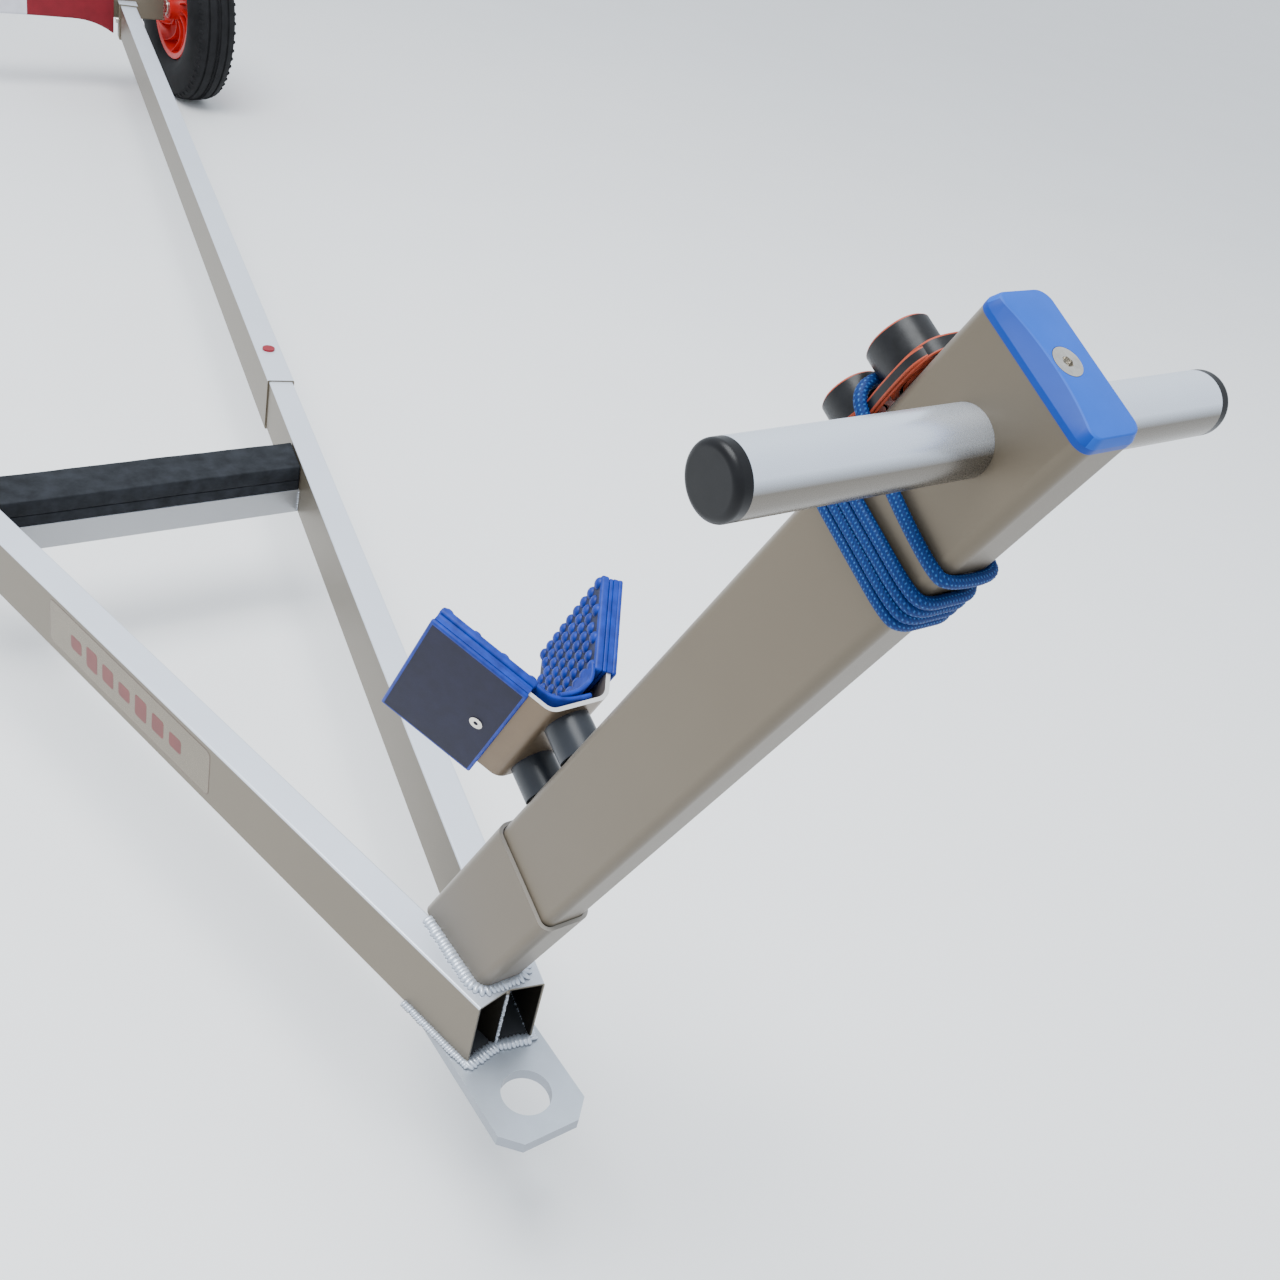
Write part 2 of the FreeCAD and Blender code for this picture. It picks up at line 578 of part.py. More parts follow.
def on_wing(body, sign, off="0"):
    """A sketch square to a wing at the pad's screw: its X runs up the wing, its normal points outside."""
    tilt = math.radians(value("cradle_tilt"))
    up = FreeCAD.Vector(sign * math.sin(tilt), math.cos(tilt), 0)
    outside = FreeCAD.Vector(sign * math.cos(tilt), -math.sin(tilt), 0)
    sk = sketch(body)
    turn = FreeCAD.Rotation(up, FreeCAD.Vector(0, 0, sign), outside, "XZY")
    sk.AttachmentOffset = FreeCAD.Placement(FreeCAD.Vector(), turn)
    base_x, base_y = wing("pad_start+pad_screw_up", off, sign)
    bind(sk, "AttachmentOffset.Base.x", base_x)
    bind(sk, "AttachmentOffset.Base.y", base_y)
    bind(sk, "AttachmentOffset.Base.z", "pad_screw_at")
    return sk


for sign in SIDES.values():
    hole = on_wing(cradle, -sign, half_plate)
    circle(hole, "pad_screw_wide+0.2")
    cut(cradle, hole, "cradle_plate_thick")
cradle.Placement = LEAN


def wing_box(sk, sign, low, high, inner, outer):
    """A rectangle in a wing's section, between two places up the wing and two offs from its middle."""
    outline(sk, [wing(low, "-%s" % inner, sign), wing(low, outer, sign),
                 wing(high, outer, sign), wing(high, "-%s" % inner, sign)])


slot_half = "(cradle_plate_thick/2+pad_gap)"
for side, direction in SIDES.items():
    sign = -direction
    pad_node = node("cradle_pad_" + side)
    block = sketch(pad_node, "XY_Plane", "pad_front")
    wing_box(block, sign, "pad_start", "pad_start+pad_long", "pad_inner", "pad_outer")
    pad(pad_node, block, "pad_rear-pad_front")
    slot = sketch(pad_node, "XY_Plane", "cradle_start-pad_gap")
    wing_box(slot, sign, "pad_start-2", "cradle_wing+pad_gap", slot_half, slot_half)
    cut(pad_node, slot, "%s+2*pad_gap" % cradle_long, back=True)
    shank_hole = on_wing(pad_node, sign, "pad_outer")
    circle(shank_hole, "pad_screw_wide+0.2")
    cut(pad_node, shank_hole, "pad_outer+5")
    head_hole = on_wing(pad_node, sign, "pad_outer")
    circle(head_hole, "pad_screw_head+0.4")
    cut(pad_node, head_hole, "2.5")
    pad_node.Placement = LEAN

    screw = node("pad_screw_" + side)
    head = on_wing(screw, sign, "pad_outer-2.4")
    circle(head, "pad_screw_head")
    pad(screw, head, "3")
    shank = on_wing(screw, sign, "-4.5")
    circle(shank, "pad_screw_wide")
    pad(screw, shank, "pad_outer+3")
    recess = on_wing(screw, sign, "pad_outer+0.6")
    circle(recess, "pad_screw_wide*0.7")
    cut(screw, recess, "1.6")
    screw.Placement = LEAN

# the liner is one arc between the lower edges of the pads' inner layers
liner = node("cradle_liner")
arcs = sketch(liner, "XY_Plane", "cradle_start+1")
liner_off = "(pad_inner-liner_thick/2-0.9)"
end_x, end_y = wing("pad_start", "-%s" % liner_off)
middle_radius = "(%s/cos(cradle_tilt))" % end_x
arc_centre = "(%s+%s*sin(cradle_tilt))" % (end_y, middle_radius)
swing = math.radians(90 - value("cradle_tilt"))
for thick in ("+", "-"):
    radius = "(%s%sliner_thick/2)" % (middle_radius, thick)
    ring = Part.Circle(FreeCAD.Vector(0, value(arc_centre)), Z, value(radius))
    arc = arcs.addGeometry(Part.ArcOfCircle(ring, -math.pi / 2 - swing, -math.pi / 2 + swing))
    fix(arcs, "Radius", arc, to=radius)
    fix(arcs, "DistanceX", -1, 1, arc, 1, to="-%s*cos(cradle_tilt)" % radius)
    fix(arcs, "DistanceX", -1, 1, arc, 2, to="%s*cos(cradle_tilt)" % radius)
    fix(arcs, "DistanceX", -1, 1, arc, 3, to="0")
    fix(arcs, "DistanceY", -1, 1, arc, 3, to=arc_centre)
for end in (1, 2):
    line = arcs.addGeometry(Part.LineSegment(arcs.getPoint(0, end), arcs.getPoint(1, end)))
    arcs.addConstraint(Sketcher.Constraint("Coincident", 0, end, line, 1))
    arcs.addConstraint(Sketcher.Constraint("Coincident", 1, end, line, 2))
pad(liner, arcs, "%s-2" % cradle_long)
liner.Placement = LEAN

for place_name, at in SPACERS.items():
    spacer = node("cradle_spacer_" + place_name)
    stand_profile(spacer, at, [(drawbar_back, "spacer_bolt_wide/2+0.2"), (drawbar_back, "spacer_wide/2"),
                               ("cradle_rise", "spacer_wide/2"), ("cradle_rise", "spacer_bolt_wide/2+0.2")])
    spacer.Placement = LEAN
    bolt = node("cradle_bolt_" + place_name)
    bolt_low = "(drawbar_deep/2-drawbar_wall-nut_thick-3)"
    thin = "spacer_bolt_wide/2"
    stand_profile(bolt, at, [(bolt_low, "0"), (bolt_low, thin), ("cradle_rise", thin),
                             (plate_top, "spacer_bolt_head/2"), (plate_top, "0")])
    bolt.Placement = LEAN
    nut = node("cradle_nut_" + place_name)
    hexagon = sketch(nut, "XZ_Plane", "-(drawbar_deep/2-drawbar_wall-nut_thick)")
    corner = "nut_wide/2/cos(30)"
    outline(hexagon, [("%s*cos(%d)" % (corner, a), "%s+%s*sin(%d)" % (at, corner, a))
                      for a in range(0, 360, 60)])
    pad(nut, hexagon, "nut_thick", back=True)
    thread = sketch(nut, "XZ_Plane")
    circle(thread, "spacer_bolt_wide", "0", at)
    cut(nut, thread)
    nut.Placement = LEAN

# --- rope on the drawbar --------------------------------------------------------------------------
rope_end = "(rope_start+rope_turns*rope_wide)"
winding = node("rope_winding")
band = sketch(winding, "XY_Plane", "rope_start")
round_outline(band, "drawbar_wide+2*(rope_gap+rope_wide)", "drawbar_deep+2*(rope_gap+rope_wide)",
              "drawbar_round+rope_wide")
pad(winding, band, "%s-rope_start" % rope_end)
core = sketch(winding, "XY_Plane", "rope_start")
round_outline(core, "drawbar_wide+2*rope_gap", "drawbar_deep+2*rope_gap", "drawbar_round")
cut(winding, core, "%s-rope_start" % rope_end, back=True)
winding.Placement = LEAN

# the rope's last turn and tail, in the drawbar's frame: from the strap, down the left side, round the
# front and right sides and into the winding at the back
ROPE_ROUTE = [(-4, 55, 621), (-13, 54.5, 619.5), (-20, 50, 617), (-21.2, 42, 613.5),
              (-21, 4.5, 604.7), (-21, -35.85, 601.5), (-14.85, -42, 601), (14.85, -42, 598.5),
              (21, -35.85, 598), (21, 35.85, 594), (14.85, 42, 593.5), (2, 42, 591), (-10, 42, 587.6)]


def cord_path(points, share=0.45):
    """Straight runs joined by tangent arcs, each as large as its two runs allow."""
    spots = [FreeCAD.Vector(*p) for p in points]
    edges, radii, here = [], [], spots[0]
    for before, corner_spot, after in zip(spots, spots[1:], spots[2:]):
        back_run, on_run = before - corner_spot, after - corner_spot
        turn = math.pi - back_run.getAngle(on_run)
        reach = share * min(back_run.Length, on_run.Length)
        radii.append(reach / math.tan(turn / 2))
        start = corner_spot + FreeCAD.Vector(back_run).normalize() * reach
        end = corner_spot + FreeCAD.Vector(on_run).normalize() * reach
        to_centre = (start + end) * 0.5 - corner_spot
        centre_reach = math.hypot(reach, radii[-1])
        middle = corner_spot + FreeCAD.Vector(to_centre).normalize() * (centre_reach - radii[-1])
        edges += [Part.LineSegment(here, start).toShape(), Part.Arc(start, middle, end).toShape()]
        here = end
    edges.append(Part.LineSegment(here, spots[-1]).toShape())
    return Part.Wire(edges), radii


rope_tail = node("rope_tail", "Part::Feature")
path, radii = cord_path(ROPE_ROUTE)
section = Part.Wire(Part.makeCircle(value("rope_wide") / 2, FreeCAD.Vector(*ROPE_ROUTE[0]),
                                    path.Edges[0].tangentAt(path.Edges[0].FirstParameter)))
rope_tail.Shape = path.makePipeShell([section], True, False)
section = math.pi * value("rope_wide") ** 2 / 4
print("rope arcs", [round(r, 1) for r in radii], "length", round(path.Length),
      "volume share", round(rope_tail.Shape.Volume / (path.Length * section), 4))
rope_tail.Placement = LEAN

tie_strap = node("tie_strap")
bundle = sketch(tie_strap, "YZ_Plane")
seat, lifted = "drawbar_deep/2+strap_gap", "drawbar_deep/2+rope_gap+rope_wide+1"
crown = "drawbar_deep/2+strap_high"
outline(bundle, [(lifted, "strap_start"), (lifted, "strap_start+17"), (seat, "strap_start+18"),
                 (seat, "strap_end"), ("%s-10" % crown, "strap_end"), (crown, "strap_end-12"),
                 (crown, "strap_start+12"), ("%s-10" % crown, "strap_start")])
pad(tie_strap, bundle, "strap_wide", middle=True)
tie_strap.Placement = LEAN

# --- axle -----------------------------------------------------------------------------------------
axle_y = "(axle_front+axle_deep/2)"
axle_z = "(axle_low+axle_deep/2)"


def on_axle(body, lift="0"):
    """A sketch across the axle, centred on it."""
    sk = sketch(body, "YZ_Plane", lift)
    bind(sk, "AttachmentOffset.Base.x", axle_y)
    bind(sk, "AttachmentOffset.Base.y", axle_z)
    return sk


axle_half = "(%s+axle_reach)" % between_rails("axle_front")
cover_half = "(%s-cover_clear)" % between_rails("axle_front")
wheel_at = "(%s+wheel_reach)" % between_rails("axle_front")

axle = node("axle_beam")
wall = on_axle(axle)
round_outline(wall, "axle_deep", "axle_deep", "axle_round")
pad(axle, wall, "2*%s" % axle_half, middle=True)
hollow = on_axle(axle)
box_outline(hollow, "axle_deep-2*axle_wall", "axle_deep-2*axle_wall")
cut(axle, hollow)

cover = node("axle_cover")
sleeve = on_axle(cover)
box_outline(sleeve, "axle_deep+2*(cover_gap+cover_thick)", "axle_deep+2*(cover_gap+cover_thick)")
pad(cover, sleeve, "2*%s" % cover_half, middle=True)
for sign in (1, -1):
    flare = sketch(cover, "XZ_Plane", "-(axle_front-cover_gap-cover_thick)")
    side = "%d*" % sign
    edge = side + cover_half
    outline(flare, [(side + "(%s-90)" % cover_half, "axle_low-cover_gap-cover_thick+2"),
                    (edge, "axle_low+10"), (edge, "axle_low-30"),
                    (side + "(%s-20)" % cover_half, "axle_low-14"),
                    (side + "(%s-50)" % cover_half, "axle_low-6")])
    pad(cover, flare, "cover_thick", back=True)
inside = on_axle(cover)
box_outline(inside, "axle_deep+2*cover_gap", "axle_deep+2*cover_gap")
cut(cover, inside)

washer_gap = 0.3
for side, direction in SIDES.items():
    sign = -direction
    out = sign > 0
    end_block = node("axle_end_" + side)
    hub_start = "(%s-hub_long/2)" % wheel_at
    inner_washer = "(%s-%s-washer_thick)" % (hub_start, washer_gap)
    plug = on_axle(end_block, "%d*(%s-end_block_long)" % (sign, axle_half))
    box_outline(plug, "axle_deep-2*axle_wall-0.2", "axle_deep-2*axle_wall-0.2")
    pad(end_block, plug, "end_block_long", back=not out)
    flange = on_axle(end_block, "%d*%s" % (sign, axle_half))
    box_outline(flange, "axle_deep", "axle_deep")
    pad(end_block, flange, "end_block_flange", back=not out)
    shoulder = on_axle(end_block, "%d*%s" % (sign, axle_half))
    circle(shoulder, "stub_wide*1.5")
    pad(end_block, shoulder, "%s-%s" % (inner_washer, axle_half), back=not out)
    stub = on_axle(end_block, "%d*%s" % (sign, axle_half))
    circle(stub, "stub_wide")
    outer_washer = "(%s+hub_long/2+%s)" % (wheel_at, washer_gap)
    linch_at = "(%s+washer_thick+linch_wide*0.75+0.3)" % outer_washer
    pad(end_block, stub, "%s-%s+9" % (linch_at, axle_half), back=not out)
    pin_hole = sketch(end_block, "XY_Plane")
    circle(pin_hole, "linch_wide+0.2", "%d*%s" % (sign, linch_at), axle_y)
    cut(end_block, pin_hole)

    linch = node("linch_pin_" + side)
    pin = sketch(linch, "XY_Plane", "%s-stub_wide/2-7" % axle_z)
    circle(pin, "linch_wide", "%d*%s" % (sign, linch_at), axle_y)
    pad(linch, pin, "stub_wide+12")
    head = sketch(linch, "XY_Plane", "%s+stub_wide/2+0.3" % axle_z)
    circle(head, "linch_wide*1.5", "%d*%s" % (sign, linch_at), axle_y)
    pad(linch, head, "9")

    washers = node("wheel_washers_" + side, "Part::Feature")
    rings = []
    for start in (inner_washer, outer_washer):
        spot = FreeCAD.Vector(sign * value(start), value(axle_y), value(axle_z))
        along = FreeCAD.Vector(sign, 0, 0)
        ring = Part.makeCylinder(value("washer_wide") / 2, value("washer_thick"), spot, along)
        bore = Part.makeCylinder(value("stub_wide") / 2 + 0.2, value("washer_thick"), spot, along)
        rings.append(ring.cut(bore))
    washers.Shape = Part.makeCompound(rings)

    # the wheel turns about its own X
    wheel_place = place("%d*%s" % (sign, wheel_at), axle_y, axle_z)
    bore = "(stub_wide/2+bush_gap)"
    hub_bore = "(%s+bush_wall)" % bore
    rim = node("rim_" + side)
    half_rim = sketch(rim, "XZ_Plane")
    edge, lip = "rim_thick/2", "rim_wide/2"
    seat = "(rim_wide/2-8)"
    right_half = [("hub_long/2", hub_bore), ("hub_long/2", "hub_wide/2"), ("8", "hub_wide/2+4"),
                  ("8", "%s-7" % seat), (edge, "%s-5" % seat), (edge, lip), ("%s-4" % edge, lip),
                  ("%s-4" % edge, seat)]
    outline(half_rim, right_half + [("-(%s)" % a, b) for a, b in reversed(right_half)])
    turned(rim, half_rim)
    rib = sketch(rim, "XY_Plane")
    for away in (1, -1):
        low, high = "%d*7" % away, "%d*(%s-6)" % (away, edge)
        outline(rib, [(low, "hub_wide/2-2"), (high, "hub_wide/2-2"),
                      (high, "%s-3" % seat), (low, "%s-3" % seat)])
    rib_pad = pad(rim, rib, "4", middle=True)
    ring = rim.newObject("PartDesign::PolarPattern", "Ribs")
    ring.Originals = [rib_pad]
    ring.Axis = (next(o for o in rim.Origin.OriginFeatures if o.Role == "X_Axis"), [""])
    ring.Angle = 360
    bind(ring, "Occurrences", "rim_ribs")
    rim.Tip = ring
    doc.recompute()
    rim.Placement = wheel_place

    tyre = node("tyre_" + side)
    half_tyre = sketch(tyre, "XZ_Plane")
    bead, wide, crown = "(rim_thick/2-4.3)", "tyre_thick/2", "tyre_wide/2"
    outside = [(bead, "%s+0.3" % seat), (bead, "%s+0.5" % lip), (wide, "%s+20" % lip),
               (wide, "%s-38" % crown), ("%s-9" % wide, "%s-9" % crown), ("%s-26" % wide, crown)]
    inside = [("%s-26" % wide, "%s-10" % crown), ("%s-14" % wide, "%s-17" % crown),
              ("%s-8" % wide, "%s-40" % crown), ("%s-8" % wide, "%s+22" % lip),
              ("%s-9" % bead, "%s+5" % lip), ("%s-9" % bead, "%s+0.3" % seat)]
    half = outside + [("-(%s)" % a, b) for a, b in reversed(outside)]
    half += [("-(%s)" % a, b) for a, b in reversed(inside)] + inside
    outline(half_tyre, half)
    turned(tyre, half_tyre)
    tyre.Placement = wheel_place

    for where, turn in (("inner", -sign), ("outer", sign)):
        bush = node("hub_bush_%s_%s" % (side, where))
        sleeve = sketch(bush, "YZ_Plane", "%d*(hub_long/2-bush_long)" % turn)
        circle(sleeve, "2*%s" % hub_bore)
        pad(bush, sleeve, "bush_long", back=turn < 0)
        axle_way = sketch(bush, "YZ_Plane")
        circle(axle_way, "2*%s" % bore)
        cut(bush, axle_way)
        bush.Placement = wheel_place

    valve = node("valve_" + side)
    stem = sketch(valve, "XY_Plane", "%s-5-24" % seat)
    circle(stem, "valve_wide", "%d*22" % sign, "0")
    pad(valve, stem, "22.8")
    valve.Placement = wheel_place.multiply(FreeCAD.Placement(FreeCAD.Vector(), X, 20))

# --- checks, then one file for each node ----------------------------------------------------------
doc.recompute()
for thing in doc.Objects:
    if {"Invalid", "Error"} & set(thing.State):
        raise ValueError("%s failed: %s" % (thing.Name, thing.State))
for thing in NODES:
    if thing.Shape.isNull() or not thing.Shape.isValid() or not thing.Shape.Solids:
        raise ValueError("%s has no valid solid" % thing.Label)
os.makedirs("parts", exist_ok=True)
for thing in NODES:
    thing.Shape.exportStep(os.path.join("parts", thing.Label + ".step"))
print(len(NODES), "nodes written")
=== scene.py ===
import json
import math
import random

import bmesh
import bpy
from mathutils import Matrix, Vector

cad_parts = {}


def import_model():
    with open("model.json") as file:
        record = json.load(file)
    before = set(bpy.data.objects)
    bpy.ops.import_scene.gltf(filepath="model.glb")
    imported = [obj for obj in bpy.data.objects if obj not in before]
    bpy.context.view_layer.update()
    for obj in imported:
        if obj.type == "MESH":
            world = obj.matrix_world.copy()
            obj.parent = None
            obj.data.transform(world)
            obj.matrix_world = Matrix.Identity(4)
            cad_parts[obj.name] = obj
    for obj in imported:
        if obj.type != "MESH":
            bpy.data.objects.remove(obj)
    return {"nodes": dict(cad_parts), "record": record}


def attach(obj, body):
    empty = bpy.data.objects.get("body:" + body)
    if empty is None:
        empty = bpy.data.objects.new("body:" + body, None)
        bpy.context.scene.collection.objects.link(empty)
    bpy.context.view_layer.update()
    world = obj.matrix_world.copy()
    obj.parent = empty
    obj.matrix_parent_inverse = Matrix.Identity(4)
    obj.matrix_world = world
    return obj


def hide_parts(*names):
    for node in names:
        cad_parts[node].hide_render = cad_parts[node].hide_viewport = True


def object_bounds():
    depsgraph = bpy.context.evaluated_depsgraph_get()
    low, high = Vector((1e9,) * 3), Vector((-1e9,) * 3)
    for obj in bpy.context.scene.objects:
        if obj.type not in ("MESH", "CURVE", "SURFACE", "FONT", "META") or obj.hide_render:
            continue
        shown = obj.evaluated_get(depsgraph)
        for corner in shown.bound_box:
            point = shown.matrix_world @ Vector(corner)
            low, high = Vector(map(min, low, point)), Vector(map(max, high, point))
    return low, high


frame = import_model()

CAD_BOX = [list(corner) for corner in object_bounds()]
MM = 0.001
NODES = frame["nodes"]
SIDES = {"left": -1, "right": 1}

# The drawbar leans forward out of its socket: X is across it, Y stands off its rear face, Z runs along it.
LEAN_ANGLE = math.radians(24.25)
LEAN = Matrix.Translation((0, 101.8 * MM, 67.3 * MM)) @ Matrix.Rotation(LEAN_ANGLE, 4, "X")
DRAWBAR_WIDE, DRAWBAR_DEEP, DRAWBAR_ROUND, DRAWBAR_END = 35 * MM, 77 * MM, 7 * MM, 690 * MM
RAIL_ANGLE = math.radians(12.5)
WHEEL_AT = 772.1 * MM


# ---------------------------------------------------------------- camera, floor and light
def camera():
    """The view from ahead of the nose, above and to the left."""
    turn, dip, roll = math.radians(42.305), math.radians(33.699), math.radians(14.210)
    ahead = Vector((math.sin(turn) * math.cos(dip), math.cos(turn) * math.cos(dip), -math.sin(dip)))
    level = Vector((math.cos(turn), -math.sin(turn), 0))
    upright = level.cross(ahead)
    right = level * math.cos(roll) + upright * math.sin(roll)
    up = upright * math.cos(roll) - level * math.sin(roll)
    data = bpy.data.cameras.new("camera")
    data.sensor_width = 36
    data.lens = 38.556
    data.shift_x = 0.0215
    data.shift_y = -0.0177
    data.clip_start = 0.01
    eye = bpy.data.objects.new("camera", data)
    bpy.context.scene.collection.objects.link(eye)
    eye.matrix_world = Matrix.Translation((-466.9 * MM, -475.5 * MM, 885.6 * MM)) @ Matrix(
        (right, up, -ahead)).transposed().to_4x4()
    bpy.context.scene.camera = eye


def area_light(name, spot, target, size, power, colour):
    """A soft round lamp that faces a target."""
    data = bpy.data.lights.new(name, "AREA")
    data.shape = "DISK"
    data.size = size
    data.energy = power
    data.color = colour
    lamp = bpy.data.objects.new(name, data)
    bpy.context.scene.collection.objects.link(lamp)
    lamp.location = spot
    lamp.rotation_euler = (Vector(target) - Vector(spot)).to_track_quat("-Z", "Y").to_euler()


# ---------------------------------------------------------------- materials
def begin(name, colour, rough, metal=0.0, shine=0.5):
    """A new material with its shader's plain sockets set."""
    material = bpy.data.materials.new(name)
    material.use_nodes = True
    shader = material.node_tree.nodes["Principled BSDF"]
    shader.inputs["Base Color"].default_value = (*colour, 1)
    shader.inputs["Roughness"].default_value = rough
    shader.inputs["Metallic"].default_value = metal
    shader.inputs["Specular IOR Level"].default_value = shine
    return material, material.node_tree, shader


def add(tree, kind, wires=None, **settings):
    """A node of a kind, with sockets wired or set by name and properties set by keyword."""
    made = tree.nodes.new("ShaderNode" + kind)
    for key, setting in settings.items():
        setattr(made, key, setting)
    for key, source in (wires or {}).items():
        if isinstance(source, bpy.types.NodeSocket):
            tree.links.new(source, made.inputs[key])
        else:
            made.inputs[key].default_value = source
    return made


def place_of(tree):
    """Object coordinates, which are the part's own frame in metres."""
    coordinates = add(tree, "TexCoord")
    return add(tree, "Mapping", {"Vector": coordinates.outputs["Object"]}).outputs["Vector"]


def noise(tree, where, scale, detail=4, rough=0.55):
    """Cloudy noise between nought and one."""
    return add(tree, "TexNoise", {"Vector": where, "Scale": scale, "Detail": detail,
                                  "Roughness": rough}).outputs["Fac"]


def ramp(tree, fac, *stops):
    """A colour ramp from (place, colour) pairs."""
    made = add(tree, "ValToRGB", {"Fac": fac})
    while len(made.color_ramp.elements) < len(stops):
        made.color_ramp.elements.new(0.5)
    for element, (place, colour) in zip(made.color_ramp.elements, stops):
        element.position = place
        element.color = (*colour, 1)
    return made.outputs["Color"]


def bump(tree, shader, height, strength, distance):
    """Relief, in metres, from a height socket."""
    made = add(tree, "Bump", {"Height": height, "Strength": strength, "Distance": distance})
    tree.links.new(made.outputs["Normal"], shader.inputs["Normal"])


def shades(colour, spread):
    """A colour a little darker and a little lighter."""
    return tuple(c * (1 - spread) for c in colour), tuple(min(1, c * (1 + spread)) for c in colour)


GLOSS_SPREAD = 0.08
BUMP_STRENGTH = 0.35


def gloss_of(tree, fine, rough):
    """Roughness that wanders a little about its mean."""
    ends = {"Value": fine, "To Min": rough - GLOSS_SPREAD, "To Max": rough + GLOSS_SPREAD}
    return add(tree, "MapRange", ends)


def mottled(name, colour, rough, metal, scale, spread, grain, depth, shine=0.3):
    """Cloudy colour, uneven gloss and a fine grain in relief."""
    material, tree, shader = begin(name, colour, rough, metal, shine)
    where = place_of(tree)
    cloud = noise(tree, where, scale)
    tree.links.new(ramp(tree, cloud, (0.3, shades(colour, spread)[0]), (0.7, shades(colour, spread)[1])),
                   shader.inputs["Base Color"])
    fine = noise(tree, where, grain, 6, 0.6)
    gloss = gloss_of(tree, fine, rough)
    tree.links.new(gloss.outputs["Result"], shader.inputs["Roughness"])
    bump(tree, shader, fine, BUMP_STRENGTH, depth * MM)
    return material


def figure(tree, operation, *inputs):
    """One step of arithmetic on sockets or numbers."""
    return add(tree, "Math", dict(enumerate(inputs)), operation=operation).outputs["Value"]


def rail_inside_shade_mask(tree):
    """One on the inner walls of the front rails, where no light falls and shade is painted into the colour,
    and nought elsewhere.
    """
    spot = add(tree, "SeparateXYZ", {"Vector": place_of(tree)}).outputs
    from_middle = figure(tree, "ABSOLUTE", spot["X"])
    across = figure(tree, "SUBTRACT", figure(tree, "MULTIPLY", from_middle, math.cos(RAIL_ANGLE)),
                    figure(tree, "MULTIPLY", spot["Y"], math.sin(RAIL_ANGLE)))
    off_line = figure(tree, "SUBTRACT", across, 15 * MM - 48 * MM * math.sin(RAIL_ANGLE))
    narrow = figure(tree, "LESS_THAN", figure(tree, "ABSOLUTE", off_line), 13.6 * MM)
    off_level = figure(tree, "SUBTRACT", spot["Z"], 33 * MM)
    low = figure(tree, "LESS_THAN", figure(tree, "ABSOLUTE", off_level), 31.6 * MM)
    near = figure(tree, "LESS_THAN", spot["Y"], 500 * MM)
    return figure(tree, "MULTIPLY", figure(tree, "MULTIPLY", narrow, low), near)


def metal_with_painted_reflection(name, top, side, rough, metal, scale, spread, grain, depth, paint_inside_shade=False):
    """Bare metal with painted reflection in its colour: bright and cool where it faces up, dull and warm
    where it faces sideways or down, as painted sky and ground reflection; with cloudy variation, painted
    shade on the front rails' inner walls when asked, and finely grained.
    """
    material, tree, shader = begin(name, side, rough, metal)
    where = place_of(tree)
    # painted reflection: the colour is picked by which way the surface faces, the top colour facing up, the
    # side colour facing sideways and darker still facing down
    facing = add(tree, "SeparateXYZ", {"Vector": add(tree, "TexCoord").outputs["Normal"]}).outputs["Z"]
    upright = figure(tree, "MULTIPLY", figure(tree, "ADD", facing, 1.0), 0.5)
    painted_reflection_tone = ramp(tree, upright, (0.38, shades(side, 0.2)[0]), (0.56, side), (0.74, top), (1.0, top))
    cloud = figure(tree, "MULTIPLY_ADD", noise(tree, where, scale), spread, 1 - spread)
    if paint_inside_shade:
        # painted shade: the colour is cut by 86 per cent on the front rails' inner walls
        cloud = figure(tree, "MULTIPLY", cloud, figure(tree, "MULTIPLY_ADD", rail_inside_shade_mask(tree), -0.86, 1.0))
    made = add(tree, "VectorMath", {0: painted_reflection_tone}, operation="SCALE")
    tree.links.new(cloud, made.inputs["Scale"])
    tree.links.new(made.outputs["Vector"], shader.inputs["Base Color"])
    fine = noise(tree, where, grain, 6, 0.6)
    gloss = gloss_of(tree, fine, rough)
    tree.links.new(gloss.outputs["Result"], shader.inputs["Roughness"])
    bump(tree, shader, fine, BUMP_STRENGTH, depth * MM)
    return material


def braided(name, dark, light):
    """Cord whose raised strands are dark and whose crossings carry a pale speck, kept on its points, with the
    grooves between strands darkened as painted shade.
    """
    material, tree, shader = begin(name, dark, 0.6, 0, 0.2)
    fleck_and_groove_shade = add(tree, "Attribute", attribute_name="fleck_and_groove_shade").outputs["Fac"]
    # the lowest stop is painted shade in the grooves between strands; the highest is the pale speck
    tree.links.new(ramp(tree, fleck_and_groove_shade, (0.0, shades(dark, 0.5)[0]), (0.45, dark), (0.9, light)),
                   shader.inputs["Base Color"])
    bump(tree, shader, noise(tree, place_of(tree), 1500, 5), 0.4, 0.05 * MM)
    return material


# painted reflection colours: cool and bright for faces that look up, warm and dark for faces that look
# sideways or down; each metal below takes one colour of each kind
PAINTED_TOP_REFLECTION, PAINTED_SIDE_REFLECTION = (0.78, 0.83, 0.92), (0.185, 0.155, 0.112)
RAIL_METAL = metal_with_painted_reflection("rail_metal", PAINTED_TOP_REFLECTION, PAINTED_SIDE_REFLECTION, 0.42, 0.5, 9, 0.10, 1400, 0.02, paint_inside_shade=True)
CROSS_METAL = metal_with_painted_reflection("cross_metal", PAINTED_TOP_REFLECTION, (0.42, 0.43, 0.45), 0.4, 0.5, 9, 0.15, 1400, 0.02)
DRAWBAR_METAL = metal_with_painted_reflection("drawbar_metal", (0.40, 0.37, 0.33), (0.165, 0.134, 0.094), 0.42, 0.5, 9, 0.12,
                          1600, 0.02)
HANDLE_METAL = metal_with_painted_reflection("handle_metal", (0.84, 0.90, 1.0), (0.20, 0.18, 0.155), 0.28, 0.8, 30, 0.05,
                         1800, 0.01)
EYE_METAL = metal_with_painted_reflection("eye_metal", (0.62, 0.68, 0.76), (0.34, 0.37, 0.42), 0.38, 0.6, 40, 0.2, 900, 0.03)
